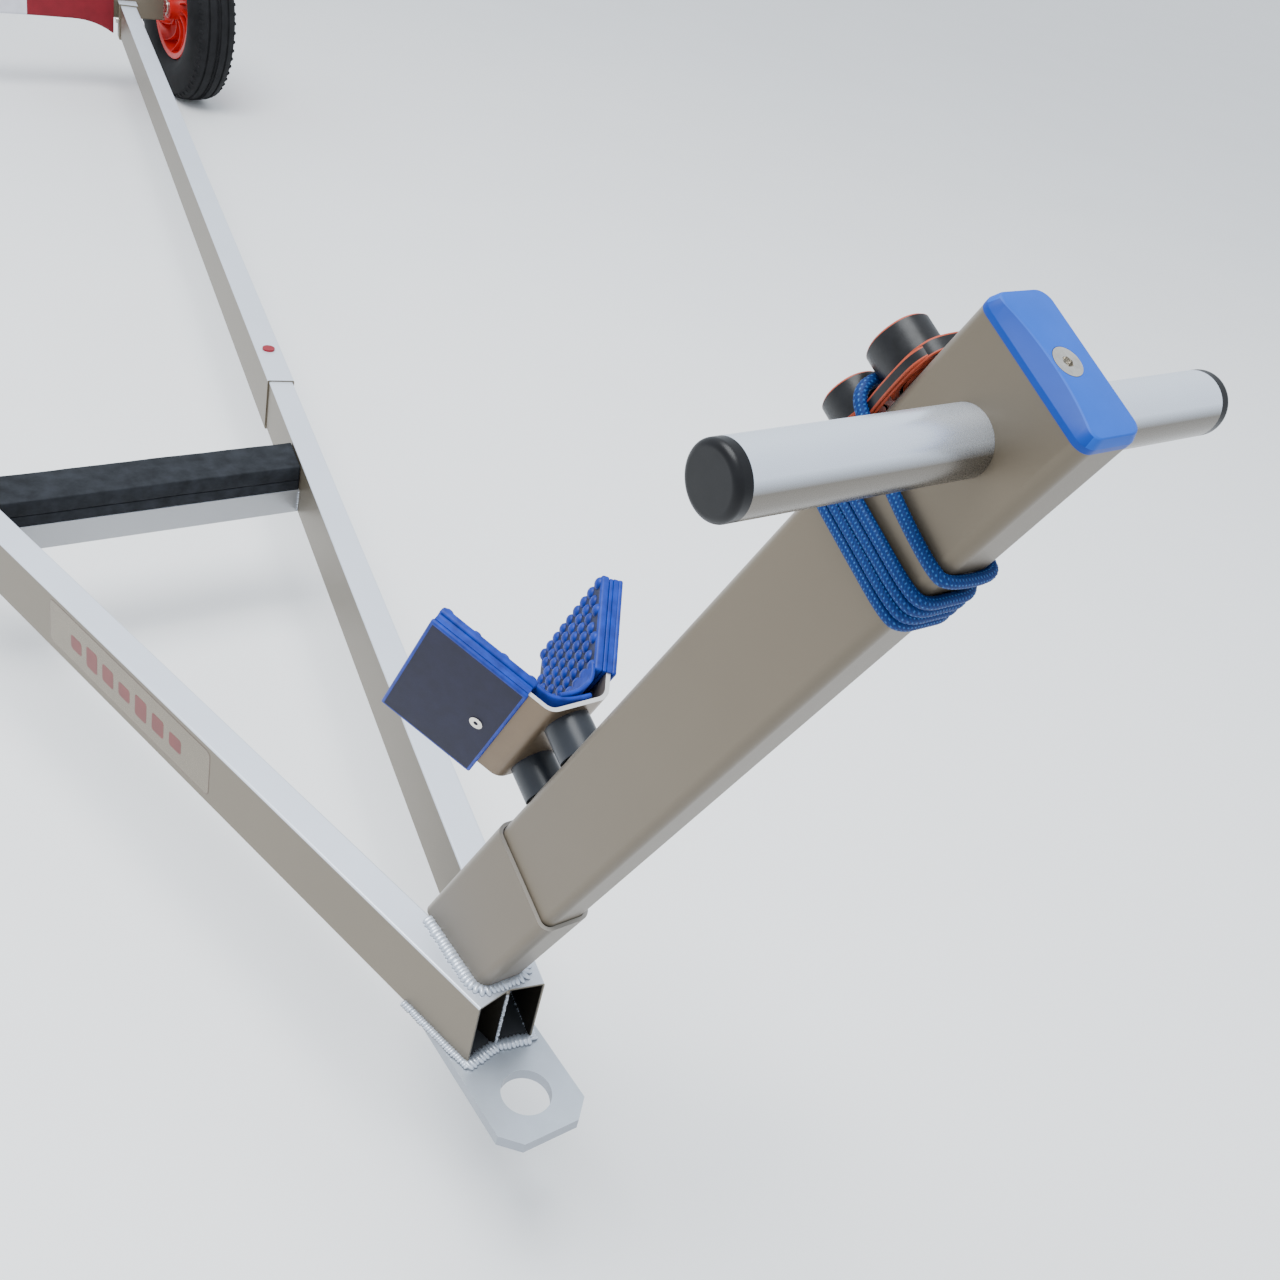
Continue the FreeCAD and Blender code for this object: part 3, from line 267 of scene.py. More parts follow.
PLATE_METAL = metal_with_painted_reflection("plate_metal", (0.80, 0.78, 0.76), (0.20, 0.14, 0.085), 0.34, 0.6, 40, 0.2, 900, 0.03)
WELD_METAL = metal_with_painted_reflection("weld_metal", (0.74, 0.80, 0.90), (0.26, 0.27, 0.29), 0.35, 0.6, 160, 0.3, 1200, 0.05)
STAINLESS = mottled("stainless", (0.62, 0.59, 0.54), 0.25, 1.0, 300, 0.1, 2500, 0.01)
BLACK_PLASTIC = mottled("black_plastic", (0.006, 0.006, 0.007), 0.34, 0, 80, 0.3, 1500, 0.03, 0.22)
GREY_PLASTIC = mottled("grey_plastic", (0.018, 0.021, 0.027), 0.32, 0, 50, 0.15, 1500, 0.02, 0.35)
CAP_BLUE = mottled("cap_blue", (0.010, 0.085, 0.46), 0.42, 0, 40, 0.06, 2200, 0.03, 0.15)
# painted shade: a darker copy of the cap's blue for its skirt and sloping facet
CAP_PAINTED_SHADE = mottled("cap_painted_shade", (0.005, 0.045, 0.30), 0.42, 0, 40, 0.06, 2200, 0.03, 0.15)
PAD_BLUE = mottled("pad_blue", (0.006, 0.030, 0.27), 0.45, 0, 120, 0.3, 900, 0.06, 0.25)
PAD_NAVY = mottled("pad_navy", (0.008, 0.008, 0.026), 0.5, 0, 90, 0.2, 1100, 0.05, 0.2)
PAD_WEB = mottled("pad_web", (0.016, 0.020, 0.055), 0.55, 0, 90, 0.4, 1100, 0.05, 0.2)
ROPE_BLUE = braided("rope_blue", (0.003, 0.032, 0.17), (0.045, 0.20, 0.46))
STRAP_BLACK = mottled("strap_black", (0.007, 0.007, 0.008), 0.36, 0, 140, 0.5, 500, 0.12, 0.3)
STRAP_ORANGE = mottled("strap_orange", (0.36, 0.055, 0.022), 0.5, 0, 90, 0.25, 900, 0.03)
FOAM_BLACK = mottled("foam_black", (0.016, 0.018, 0.022), 0.75, 0, 60, 0.4, 700, 0.15, 0.15)
BUTTON_RED = mottled("button_red", (0.24, 0.008, 0.018), 0.35, 0, 60, 0.08, 1500, 0.01)
RIM_RED = mottled("rim_red", (0.48, 0.012, 0.009), 0.35, 0, 60, 0.08, 1500, 0.02)
# painted reflection: the clear film takes the rails' warm side colour, the painted ground reflection, as seen
# through it
STICKER_CLEAR = mottled("sticker_clear", (0.19, 0.16, 0.115), 0.26, 0.4, 60, 0.04, 1500, 0.01)
STICKER_LINE = mottled("sticker_line", (0.13, 0.085, 0.065), 0.35, 0, 60, 0.1, 1500, 0.01)
STICKER_RED = mottled("sticker_red", (0.15, 0.018, 0.014), 0.35, 0, 60, 0.1, 1500, 0.01)
CANVAS_WHITE = mottled("canvas_white", (0.62, 0.62, 0.68), 0.7, 0, 40, 0.06, 1500, 0.1)
CANVAS_RED = mottled("canvas_red", (0.18, 0.008, 0.016), 0.7, 0, 40, 0.12, 1500, 0.1)
TYRE_BLACK = mottled("tyre_black", (0.010, 0.010, 0.011), 0.68, 0, 40, 0.3, 900, 0.1, 0.15)

LOOKS = {
    "rail_aluminium": RAIL_METAL, "drawbar_aluminium": DRAWBAR_METAL, "handle_aluminium": HANDLE_METAL,
    "plate_aluminium": PLATE_METAL, "weld_bead": WELD_METAL, "stainless": STAINLESS,
    "black_plastic": BLACK_PLASTIC, "blue_cap": CAP_BLUE, "blue_rubber": PAD_BLUE,
    "grey_plastic": GREY_PLASTIC,
    "blue_rope": ROPE_BLUE, "strap_rubber": STRAP_BLACK, "black_foam": FOAM_BLACK, "red_button": BUTTON_RED,
    "red_rim": RIM_RED, "tyre_rubber": TYRE_BLACK, "red_canvas": CANVAS_RED,
}


OWN_LOOKS = {"nose_plate": EYE_METAL, "cross_tube": CROSS_METAL}


def dress_cad_nodes():
    """The CAD nodes that stay in view get their slots' materials, or one of their own."""
    for part in frame["record"]["subparts"]:
        mesh = NODES[part["node"]].data
        mesh.materials.clear()
        look = OWN_LOOKS.get(part["node"], LOOKS[part["material_slot"]])
        mesh.materials.append(look)


# ---------------------------------------------------------------- making pieces
def wing_frame(sign):
    """Along a cradle wing from its corner, out of the pad's outer face, and along the drawbar."""
    tilt = math.radians(31.4)
    up = Vector((sign * math.sin(tilt), math.cos(tilt), 0))
    out = Vector((sign * math.cos(tilt), -math.sin(tilt), 0))
    corner = Vector((sign * 21.5 * MM, 65.5 * MM, 0))
    return LEAN @ Matrix.Translation(corner) @ Matrix((up, out, (0, 0, 1))).transposed().to_4x4()


def rail_frame(sign):
    """The middle line of a rail: X across it, Y along it from the nose, Z up from its middle."""
    nose, half = 48 * MM, 15 * MM
    start = Vector((sign * half * math.cos(RAIL_ANGLE), nose - half * math.sin(RAIL_ANGLE), 33 * MM))
    return Matrix.Translation(start) @ Matrix.Rotation(-sign * RAIL_ANGLE, 4, "Z")


def settle(bm, name, looks, body, stands_for=(), where=None, sharp=35):
    """The bmesh as a finished piece: placed, its faces turned outwards, riding on its body."""
    if where is not None:
        bmesh.ops.transform(bm, matrix=where, verts=bm.verts)
    bmesh.ops.recalc_face_normals(bm, faces=bm.faces)
    mesh = bpy.data.meshes.new(name)
    bm.to_mesh(mesh)
    bm.free()
    for look in looks:
        mesh.materials.append(look)
    mesh.shade_smooth()
    mesh.set_sharp_from_angle(angle=math.radians(sharp))
    thing = bpy.data.objects.new(name, mesh)
    bpy.context.scene.collection.objects.link(thing)
    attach(thing, body)
    if stands_for:
        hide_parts(*stands_for)
    return thing


def block(bm, low, high, radius=0.0, segments=2):
    """A box between two corners with rounded edges."""
    low, high = Vector(low), Vector(high)
    made = bmesh.ops.create_cube(bm, size=1)["verts"]
    bmesh.ops.scale(bm, verts=made, vec=high - low)
    bmesh.ops.translate(bm, verts=made, vec=(low + high) / 2)
    edges = list({e for v in made for e in v.link_edges})
    if radius:
        bmesh.ops.bevel(bm, geom=edges, offset=radius, segments=segments, affect="EDGES", profile=0.5,
                        material=-1, clamp_overlap=True)


def stud_die(radius, height):
    """A low round stud standing along Y, as a small mesh to stamp."""
    bm = bmesh.new()
    bmesh.ops.create_uvsphere(bm, u_segments=14, v_segments=10, radius=1)
    bmesh.ops.scale(bm, verts=bm.verts, vec=(radius, radius, height))
    bmesh.ops.rotate(bm, verts=bm.verts, cent=(0, 0, 0), matrix=Matrix.Rotation(math.pi / 2, 3, "X"))
    return die_of(bm)


def die_of(bm):
    """A bmesh turned into a small mesh to stamp."""
    mesh = bpy.data.meshes.new("die")
    bm.to_mesh(mesh)
    bm.free()
    return mesh


def stamp(bm, die, places):
    """Copies of a small mesh, one at each placing matrix."""
    for where in places:
        copy = die.copy()
        copy.transform(where)
        bm.from_mesh(copy)
        bpy.data.meshes.remove(copy)


def sweep(bm, centres, profile, look_of=None, closed=False):
    """A profile, given in (side, up) pairs, carried along a line of points with frames (side, up)."""
    rings = []
    for spot, side, up in centres:
        rings.append([bm.verts.new(spot + side * a + up * b) for a, b in profile])
    count = len(profile)
    for one, two in zip(rings, rings[1:] + (rings[:1] if closed else [])):
        for i in range(count):
            face = bm.faces.new((one[i], one[(i + 1) % count], two[(i + 1) % count], two[i]))
            if look_of:
                face.material_index = look_of(i)
    if not closed:
        for end in (rings[0], rings[-1]):
            bm.faces.new(end)


def smooth_line(points, closed=False, steps=12):
    """Points read from a NURBS spline whose control points are given."""
    data = bpy.data.curves.new("line", "CURVE")
    data.dimensions = "3D"
    data.resolution_u = steps
    spline = data.splines.new("NURBS")
    spline.points.add(len(points) - 1)
    for point, spot in zip(spline.points, points):
        point.co = (*spot, 1)
    spline.use_cyclic_u = closed
    spline.order_u = 3
    spline.use_endpoint_u = not closed
    thing = bpy.data.objects.new("line", data)
    bpy.context.scene.collection.objects.link(thing)
    mesh = bpy.data.meshes.new_from_object(thing)
    line = [v.co.copy() for v in mesh.vertices]
    bpy.data.objects.remove(thing)
    bpy.data.meshes.remove(mesh)
    bpy.data.curves.remove(data)
    return line


def evenly(line, step):
    """Points a step apart along a line."""
    out, carried = [line[0].copy()], 0.0
    for a, b in zip(line, line[1:]):
        run = (b - a).length
        if run < 1e-9:
            continue
        at = step - carried
        while at <= run:
            out.append(a.lerp(b, at / run))
            at += step
        carried = run - (at - step)
    return out


# ---------------------------------------------------------------- rope
ROPE = 6.4 * MM
ROPE_START, ROPE_PITCH = 560.8, 6.4
ROPE_TURNS = 4
# the tail, in the drawbar's frame in mm: the same points as the CAD tube's, from the winding to the strap
ROPE_TAIL = [(-10, 42, 587.6), (2, 42, 591), (14.85, 42, 593.5), (21, 35.85, 594), (21, -35.85, 598),
             (14.85, -42, 598.5), (-14.85, -42, 601), (-21, -35.85, 601.5), (-21, 4.5, 604.7),
             (-21.2, 42, 613.5), (-20, 50, 617), (-13, 54.5, 619.5), (-4, 55, 621)]
# once round the drawbar, two points to a corner and one to a side
ROPE_TURN = [(0, 42), (14.85, 42), (21, 35.85), (21, 0), (21, -35.85), (14.85, -42), (0, -42), (-14.85, -42),
             (-21, -35.85), (-21, 0), (-21, 35.85), (-14.85, 42)]


def winding_points():
    """Turns that lie side by side, each one rope's width further along the drawbar, in its frame in mm."""
    points = []
    for number in range(ROPE_TURNS * len(ROPE_TURN)):
        across, off = ROPE_TURN[number % len(ROPE_TURN)]
        on_turn = number / len(ROPE_TURN)
        points.append(Vector((across, off, ROPE_START + on_turn * ROPE_PITCH)))
    return points


def braid_tube(bm, line, radius, around=28, strands=8, pitch=17 * MM):
    """A round braid: strands that pass over and under each other, with each one's lightness kept by point; it
    falls to nought in the grooves, where shade is painted.
    """
    shade = bm.verts.layers.float.new("fleck_and_groove_shade")
    rings, travelled, side = [], 0.0, None
    for i, spot in enumerate(line):
        ahead = (line[min(i + 1, len(line) - 1)] - line[max(i - 1, 0)]).normalized()
        side = side or ahead.orthogonal()
        side = (side - ahead * side.dot(ahead)).normalized()
        up = ahead.cross(side)
        travelled += (spot - line[max(i - 1, 0)]).length
        tip = min(travelled, 1.5 * MM) / (1.5 * MM)
        ring = []
        for k in range(around):
            angle = 2 * math.pi * k / around
            one = strands * (angle / (2 * math.pi) + travelled / pitch)
            two = strands * (angle / (2 * math.pi) - travelled / pitch)
            over = (math.floor(one) + math.floor(two)) % 2
            ridge = abs(math.sin(math.pi * (one if over else two)))
            reach = radius * (0.91 + 0.11 * ridge) * math.sqrt(1 - (1 - tip) ** 2 * 0.8)
            vertex = bm.verts.new(spot + (side * math.cos(angle) + up * math.sin(angle)) * reach)
            # painted shade: nought where strands dip into a groove, highest on the crossings of one family of
            # strands
            cross = abs(math.sin(math.pi * one) * math.sin(math.pi * two))
            vertex[shade] = cross * (1.0 if over else 0.55)
            ring.append(vertex)
        rings.append(ring)
    for one, two in zip(rings, rings[1:]):
        for k in range(around):
            bm.faces.new((one[k], one[(k + 1) % around], two[(k + 1) % around], two[k]))
    for end in (rings[0], rings[-1]):
        bm.faces.new(end)


def rope():
    """Braided cord, wound round the drawbar and led up under the strap."""
    control = [LEAN @ (Vector(p) * MM) for p in winding_points() + ROPE_TAIL]
    line = evenly(smooth_line(control, steps=16), 0.6 * MM)
    bm = bmesh.new()
    braid_tube(bm, line, ROPE / 2)
    made = settle(bm, "rope", [ROPE_BLUE], "drawbar", ("rope_winding", "rope_tail"), sharp=180)


# ---------------------------------------------------------------- tie strap
def ribbon(bm, points, low, high, thick, edge, closed=False):
    """A strap standing on edge on the drawbar: its line is in (across, along), its width stands off the face.

    Look 0 is the strap's faces and look 1 its coloured edges."""
    line = smooth_line([Vector((a, 0, b)) * MM for a, b in points], closed=closed, steps=10)
    centres = []
    count = len(line)
    for i, spot in enumerate(line):
        nxt = line[(i + 1) % count] if closed else line[min(i + 1, count - 1)]
        prev = line[i - 1] if closed or i else line[0]
        ahead = (nxt - prev).normalized()
        side = ahead.cross(Vector((0, 1, 0))).normalized()
        centres.append((spot, side, Vector((0, 1, 0))))
    half, low, high, edge = thick * MM / 2, low * MM, high * MM, edge * MM
    soft = half * 0.45
    profile = [(-half, low + edge), (-half, low + soft), (-half + soft, low), (half - soft, low),
               (half, low + soft), (half, low + edge), (half, high - edge), (half, high - soft),
               (half - soft, high), (-half + soft, high), (-half, high - soft), (-half, high - edge)]
    sweep(bm, centres, profile, lambda i: 0 if i in (5, 11) else 1, closed)


def inner_turn(points, middle, share, shift=0):
    """A loop's next turn inwards, drawn in towards a middle that lies along the drawbar."""
    return [(a * share + shift, middle + (b - middle) * share) for a, b in points]


def tie_strap():
    """A rubber strap on edge, rolled into two loops, with its outer turn along the near side."""
    bm = bmesh.new()
    foot, over_rope, crown = 39.3, 46.6, 65
    thick, inner_thick, edge = 4.2, 3.6, 1.1
    upper = [(-13.5, 629), (-15, 640), (-8, 650.5), (5, 650.5), (12.5, 640), (12, 629), (5, 621.5),
             (-6, 621.5)]
    lower = [(-15, 593), (-17, 603), (-11, 612.5), (2, 613), (11, 603), (11, 592), (3, 586.5), (-8, 586.5)]
    ribbon(bm, upper, foot + 1, crown, thick, edge, closed=True)
    ribbon(bm, inner_turn(upper, 636, 0.62), foot + 1, crown - 1, inner_thick, edge, closed=True)
    ribbon(bm, lower, over_rope, crown - 1, thick, edge, closed=True)
    ribbon(bm, inner_turn(lower, 600, 0.6, -1), over_rope, crown - 2, inner_thick, edge, closed=True)
    for layer in (0, 1):
        near = -17.2 - layer * 1.9
        band = [(near + 2, 609), (near, 620), (near - 0.4, 638), (near + 1, 652 - layer),
                (-9, 660 - layer * 2), (6, 660.5 - layer * 2)]
        ribbon(bm, band, foot + layer * 0.7, over_rope - layer, 1.6, 0.9)
    settle(bm, "tie_strap_bundle", [STRAP_BLACK, STRAP_ORANGE], "drawbar", ("tie_strap",),
           LEAN)


# ---------------------------------------------------------------- bow cradle
PAD_LOW, PAD_HIGH = 17.3 * MM, 95.5 * MM
PAD_INNER, PAD_OUTER = -11 * MM, 5.3 * MM
PAD_LAYER = -4.5 * MM
PAD_START, PAD_END = 167 * MM, 279 * MM
# the slot that the plate sits in: half its width, its two ends along the drawbar and its top up the wing
SLOT_HALF, SLOT_START, SLOT_END, SLOT_TOP = 1.7 * MM, 178.8 * MM, 277.2 * MM, 82.3 * MM


def cradle_pad(side):
    """Rubber layers round the wing: a smooth outer face, and an inner face covered in round studs."""
    bm = bmesh.new()
    edge, hair = 0.9 * MM, 0.1 * MM
    low, high, start, end = PAD_LOW, PAD_HIGH, PAD_START, PAD_END
    block(bm, (low, SLOT_HALF, start), (high, PAD_OUTER, end), 1.5 * MM, 4)
    block(bm, (low + edge, PAD_LAYER, start + edge), (high - edge, -SLOT_HALF, end - edge), 0.6 * MM, 3)
    block(bm, (low, PAD_INNER, start), (high, PAD_LAYER - 2 * hair, end), 2.0 * MM, 4)
    # the web round the plate's edges, which joins the layers
    for near, far in (((low + edge, start + edge), (high - edge, SLOT_START - hair)),
                      ((low + edge, SLOT_END + hair), (high - edge, end - 0.5 * MM)),
                      ((SLOT_TOP + hair, SLOT_START), (high - edge, SLOT_END))):
        block(bm, (near[0], -SLOT_HALF, near[1]), (far[0], SLOT_HALF, far[1]))
    bm.normal_update()
    large = 1000 * MM * MM
    broad = [face for face in bm.faces if abs(face.normal.y) > 0.9 and face.calc_area() > large]
    outer = [face for face in broad if face.calc_center_median().y > PAD_OUTER * 0.9]
    inner = [face for face in broad if face.calc_center_median().y < PAD_INNER * 0.9]
    bmesh.ops.inset_region(bm, faces=outer, thickness=1.3 * MM, depth=0)
    for face in outer:
        face.material_index = 1
    for face in inner:
        face.material_index = 2
    rows, columns, pitch_up, pitch_along = 7, 9, 11.4 * MM, 12.6 * MM
    places = []
    for row in range(rows):
        up = PAD_LOW + 5 * MM + row * pitch_up
        for column in range(columns - row % 2):
            along = PAD_START + 5.6 * MM + (column + 0.5 * (row % 2)) * pitch_along
            places.append(Matrix.Translation((up, PAD_INNER + 0.5 * MM, along)))
    stamp(bm, stud_die(4.7 * MM, 3.4 * MM), places)
    settle(bm, "cradle_pad_rubber_" + side, [PAD_BLUE, PAD_NAVY, PAD_WEB], "drawbar",
           ("cradle_pad_" + side,), wing_frame(SIDES[side]))


def cradle_liner():
    """Two flaps that hang from the pads' inner layers and lap over each other in the valley."""
    bm = bmesh.new()
    flaps = [([(-24.5, 88), (-21, 79), (-13, 72.4), (-1, 69.4), (11, 69.5)], 168, 278),
             ([(22.5, 90), (19, 81.5), (10, 76), (-2, 73.4), (-11, 74.6)], 167.4, 278.6)]
    for points, start, end in flaps:
        line = smooth_line([Vector((a, b, 0)) * MM for a, b in points], steps=8)
        centres = []
        for i, spot in enumerate(line):
            ahead = (line[min(i + 1, len(line) - 1)] - line[max(i - 1, 0)]).normalized()
            centres.append((spot, ahead.cross(Vector((0, 0, 1))).normalized(), Vector((0, 0, 1))))
        half, low, high = 1.5 * MM, start * MM, end * MM
        soft = 0.7 * MM
        profile = [(-half, low + soft), (-half + soft, low), (half - soft, low), (half, low + soft),
                   (half, high - soft), (half - soft, high), (-half + soft, high), (-half, high - soft)]
        sweep(bm, centres, profile)
    settle(bm, "cradle_liner_flaps", [PAD_BLUE], "drawbar", ("cradle_liner",), LEAN, sharp=50)


# ---------------------------------------------------------------- end cap
def rounded_ring(half_x, half_y, radius, segments, fill=0):
    """Points round a rounded rectangle, anticlockwise from +X, with fill parts to each straight side."""
    points = []
    for cx, cy, start in ((1, 1, 0), (-1, 1, 90), (-1, -1, 180), (1, -1, 270)):
        for i in range(segments + 1):
            angle = math.radians(start + 90 * i / segments)
            points.append(((half_x - radius) * cx + radius * math.cos(angle),
                           (half_y - radius) * cy + radius * math.sin(angle)))
        if fill:
            ex, ey = points[-1]
            nx, ny = (ex, -ey) if start in (90, 270) else (-ex, ey)
            for i in range(1, fill):
                points.append((ex + (nx - ex) * i / fill, ey + (ny - ey) * i / fill))
    return points


def cap_inset(x, y, half_y):
    """How far the cap's top edge stands in from its side: a bow along one long side."""
    share = y / half_y
    bow = 7.4 * max(0.0, 1 - share * share) ** 0.8 if x < 0 else 0
    return (1.0 + bow) * MM


def top_cap():
    """A moulded lid with a long curved facet on one side, left open round the bolt's seat; its skirt and the
    facet's sloping faces take a darker copy of its blue as painted shade.
    """
    bm = bmesh.new()
    half_x, half_y, radius = DRAWBAR_WIDE / 2, DRAWBAR_DEEP / 2, DRAWBAR_ROUND
    low, skirt, high = DRAWBAR_END, DRAWBAR_END + 3.0 * MM, DRAWBAR_END + 7.7 * MM
    lap, seat, seat_deep = 0.15 * MM, 7.8 * MM, 4.2 * MM
    base = rounded_ring(half_x + lap, half_y + lap, radius, 8, 16)
    rings = [[bm.verts.new((x, y, z)) for x, y in base] for z in (low, skirt)]
    top = []
    shorter = (half_y - 1.6 * MM) / half_y
    for x, y in base:
        across = math.copysign(max(abs(x) - cap_inset(x, y, half_y), 0.2 * MM), x)
        top.append(bm.verts.new((across, y * shorter, high - 0.5 * MM)))
    rings.append(top)
    crown = [bm.verts.new((v.co.x * 0.93, v.co.y * 0.985, high)) for v in top]
    rings.append(crown)
    for level, (one, two) in enumerate(zip(rings, rings[1:])):
        for i in range(len(one)):
            j = (i + 1) % len(one)
            face = bm.faces.new((one[i], one[j], two[j], two[i]))
            # painted shade: the skirt ring and the sloping facet on the -X side take the darker blue
            face.material_index = 1 if level == 0 or level == 1 and one[i].co.x < -half_x * 0.9 else 0
    bm.faces.new(rings[0])
    turn = [math.radians(angle) for angle in range(0, 360, 6)]
    mouth = [Vector((seat * math.cos(angle), seat * math.sin(angle), high)) for angle in turn]
    lip = [bm.verts.new(spot) for spot in mouth]
    well = [bm.verts.new((spot.x * 0.55, spot.y * 0.55, high - seat_deep)) for spot in mouth]
    for i in range(len(lip)):
        j = (i + 1) % len(lip)
        bm.faces.new((lip[i], lip[j], well[j], well[i]))
    bm.faces.new(well)
    edges = []
    for ring in (crown, lip):
        edges += [bm.edges.get((ring[i], ring[(i + 1) % len(ring)])) for i in range(len(ring))]
    bmesh.ops.triangle_fill(bm, edges=edges, use_beauty=True)
    soft = [e for e in bm.edges if len(e.link_faces) == 2 and e.calc_face_angle(0) > math.radians(18)
            and min(v.co.z for v in e.verts) > low + 1 * MM and (e.verts[0].co.xy.length > seat * 1.3)]
    bmesh.ops.bevel(bm, geom=soft, offset=0.5 * MM, segments=2, affect="EDGES", profile=0.5, material=-1,
                    clamp_overlap=True)
    settle(bm, "end_cap", [CAP_BLUE, CAP_PAINTED_SHADE], "drawbar", ("top_cap",), LEAN, sharp=28)


# ---------------------------------------------------------------- welds
def ripple(bm, points, width, height, up, step=1.7 * MM, seed=1):
    """Overlapping scales of weld laid along a line of points, reaching a width to each side of it."""
    line = evenly([Vector(p) for p in points], step)
    dice = random.Random(seed)
    ball = bmesh.new()
    bmesh.ops.create_uvsphere(ball, u_segments=12, v_segments=8, radius=1)
    scale_die = die_of(ball)
    places = []
    for i, spot in enumerate(line):
        ahead = (line[min(i + 1, len(line) - 1)] - line[max(i - 1, 0)]).normalized()
        across = ahead.cross(up).normalized()
        swell = 1 + dice.uniform(-0.10, 0.10)
        turn = Matrix((across, ahead, up)).transposed().to_4x4()
        size = Matrix.Diagonal((width * swell, step * 0.85, height * swell, 1))
        shift = Vector((dice.uniform(-0.3, 0.3), dice.uniform(-0.3, 0.3), 0)) * MM
        tip = Matrix.Rotation(math.radians(24), 4, "X")
        places.append(Matrix.Translation(spot + shift) @ turn @ tip @ size)
    stamp(bm, scale_die, places)


def foot_point(x, y_depth):
    """A point of the socket's wall at the level of the rails' tops."""
    level = -(1.3 * MM + y_depth * math.sin(LEAN_ANGLE)) / math.cos(LEAN_ANGLE)
    return LEAN @ Vector((x, y_depth, level))


def nose_welds():
    """Beads round the socket's foot, under the rails' open ends and where the cross tube meets the rails."""
    bm = bmesh.new()
    half_x, half_y = 20.6 * MM, 41.6 * MM
    up = Vector((0, 0, 1))
    ring = []
    for sign in (1, -1):
        beside = sign * (half_x + 1.6 * MM)
        ring.append([foot_point(beside, half_y - 14 * MM - i * 5 * MM) for i in range(13)])
    front = [foot_point(x * MM, -half_y - 1.4 * MM) for x in range(-15, 16, 3)]
    corner_left = [foot_point(-half_x - 1.0 * MM, -half_y + 6 * MM),
                   foot_point(-half_x + 1.5 * MM, -half_y + 0.5 * MM)]
    corner_right = [foot_point(half_x - 1.5 * MM, -half_y + 0.5 * MM),
                    foot_point(half_x + 1.0 * MM, -half_y + 6 * MM)]
    whole = ring[1] + corner_left + front + corner_right + ring[0][::-1]
    ripple(bm, smooth_line(whole, steps=4), 7.2 * MM, 4.2 * MM, up, 3.5 * MM, seed=3)
    for sign, seed in ((-1, 5), (1, 7)):
        where = rail_frame(sign)
        low = [where @ Vector((x * MM, -1.2 * MM, -32.2 * MM)) for x in range(-15, 17, 3)]
        ripple(bm, low, 6.4 * MM, 4.0 * MM, up, 3.4 * MM, seed=seed)
        outer = [where @ Vector((sign * 16.0 * MM, y * MM, -32.0 * MM)) for y in range(-2, 78, 4)]
        ripple(bm, outer, 4.2 * MM, 3.0 * MM, up, 2.5 * MM, seed=seed + 20)
        seam = [where @ Vector((-sign * 15.2 * MM, -0.3 * MM, z * MM)) for z in range(-28, 30, 4)]
        if sign > 0:
            ripple(bm, seam, 1.5 * MM, 1.5 * MM, Vector((0, -1, 0)), seed=seed + 40)
    # short runs where the cross tube meets the rails
    for sign in (-1, 1):
        for y in (815, 871):
            x = sign * (y - 48) * math.tan(RAIL_ANGLE) * MM
            run = [(x, y * MM, z * MM) for z in range(2, 30, 4)]
            ripple(bm, run, 1.8 * MM, 1.8 * MM, Vector((0, 1, 0)), seed=y)
    settle(bm, "nose_weld_beads", [WELD_METAL], "frame", ("nose_welds",), sharp=180)


# ---------------------------------------------------------------- keel pad, sticker and axle cover
def keel_pad():
    """Two strips of foam along the cross tube, their long edges softened."""
    bm = bmesh.new()
    front, back, split = 815 * MM, 871 * MM, 13 * MM
    low, high = 30.2 * MM, 62 * MM
    for bottom, top in ((low, low + split), (low + split + 0.3 * MM, high)):
        made = bmesh.ops.create_cube(bm, size=1)["verts"]
        bmesh.ops.scale(bm, verts=made, vec=(1, back - front, top - bottom))
        bmesh.ops.translate(bm, verts=made, vec=(0, (front + back) / 2, (top + bottom) / 2))
        for vertex in made:
            reach = (vertex.co.y - 48 * MM) * math.tan(RAIL_ANGLE) - 0.5 * MM
            vertex.co.x = math.copysign(reach, vertex.co.x)
        edges = [e for e in bm.edges if all(v in made for v in e.verts)]
        bmesh.ops.bevel(bm, geom=edges, offset=1.6 * MM, segments=3, affect="EDGES", profile=0.5, material=-1)
    long_edges = [e for e in bm.edges if e.calc_length() > 200 * MM]
    bmesh.ops.subdivide_edges(bm, edges=long_edges, cuts=40, use_grid_fill=True)
    dice = random.Random(4)
    for vertex in bm.verts:
        wave = math.sin(vertex.co.x * 70) * 0.25 + math.sin(vertex.co.x * 23 + 1) * 0.35
        vertex.co += Vector((0, dice.uniform(-0.15, 0.15), dice.uniform(-0.15, 0.15) + wave * 0.5)) * MM
    made = settle(bm, "keel_pad_foam", [FOAM_BLACK], "frame", ("cross_tube_pad",), sharp=40)


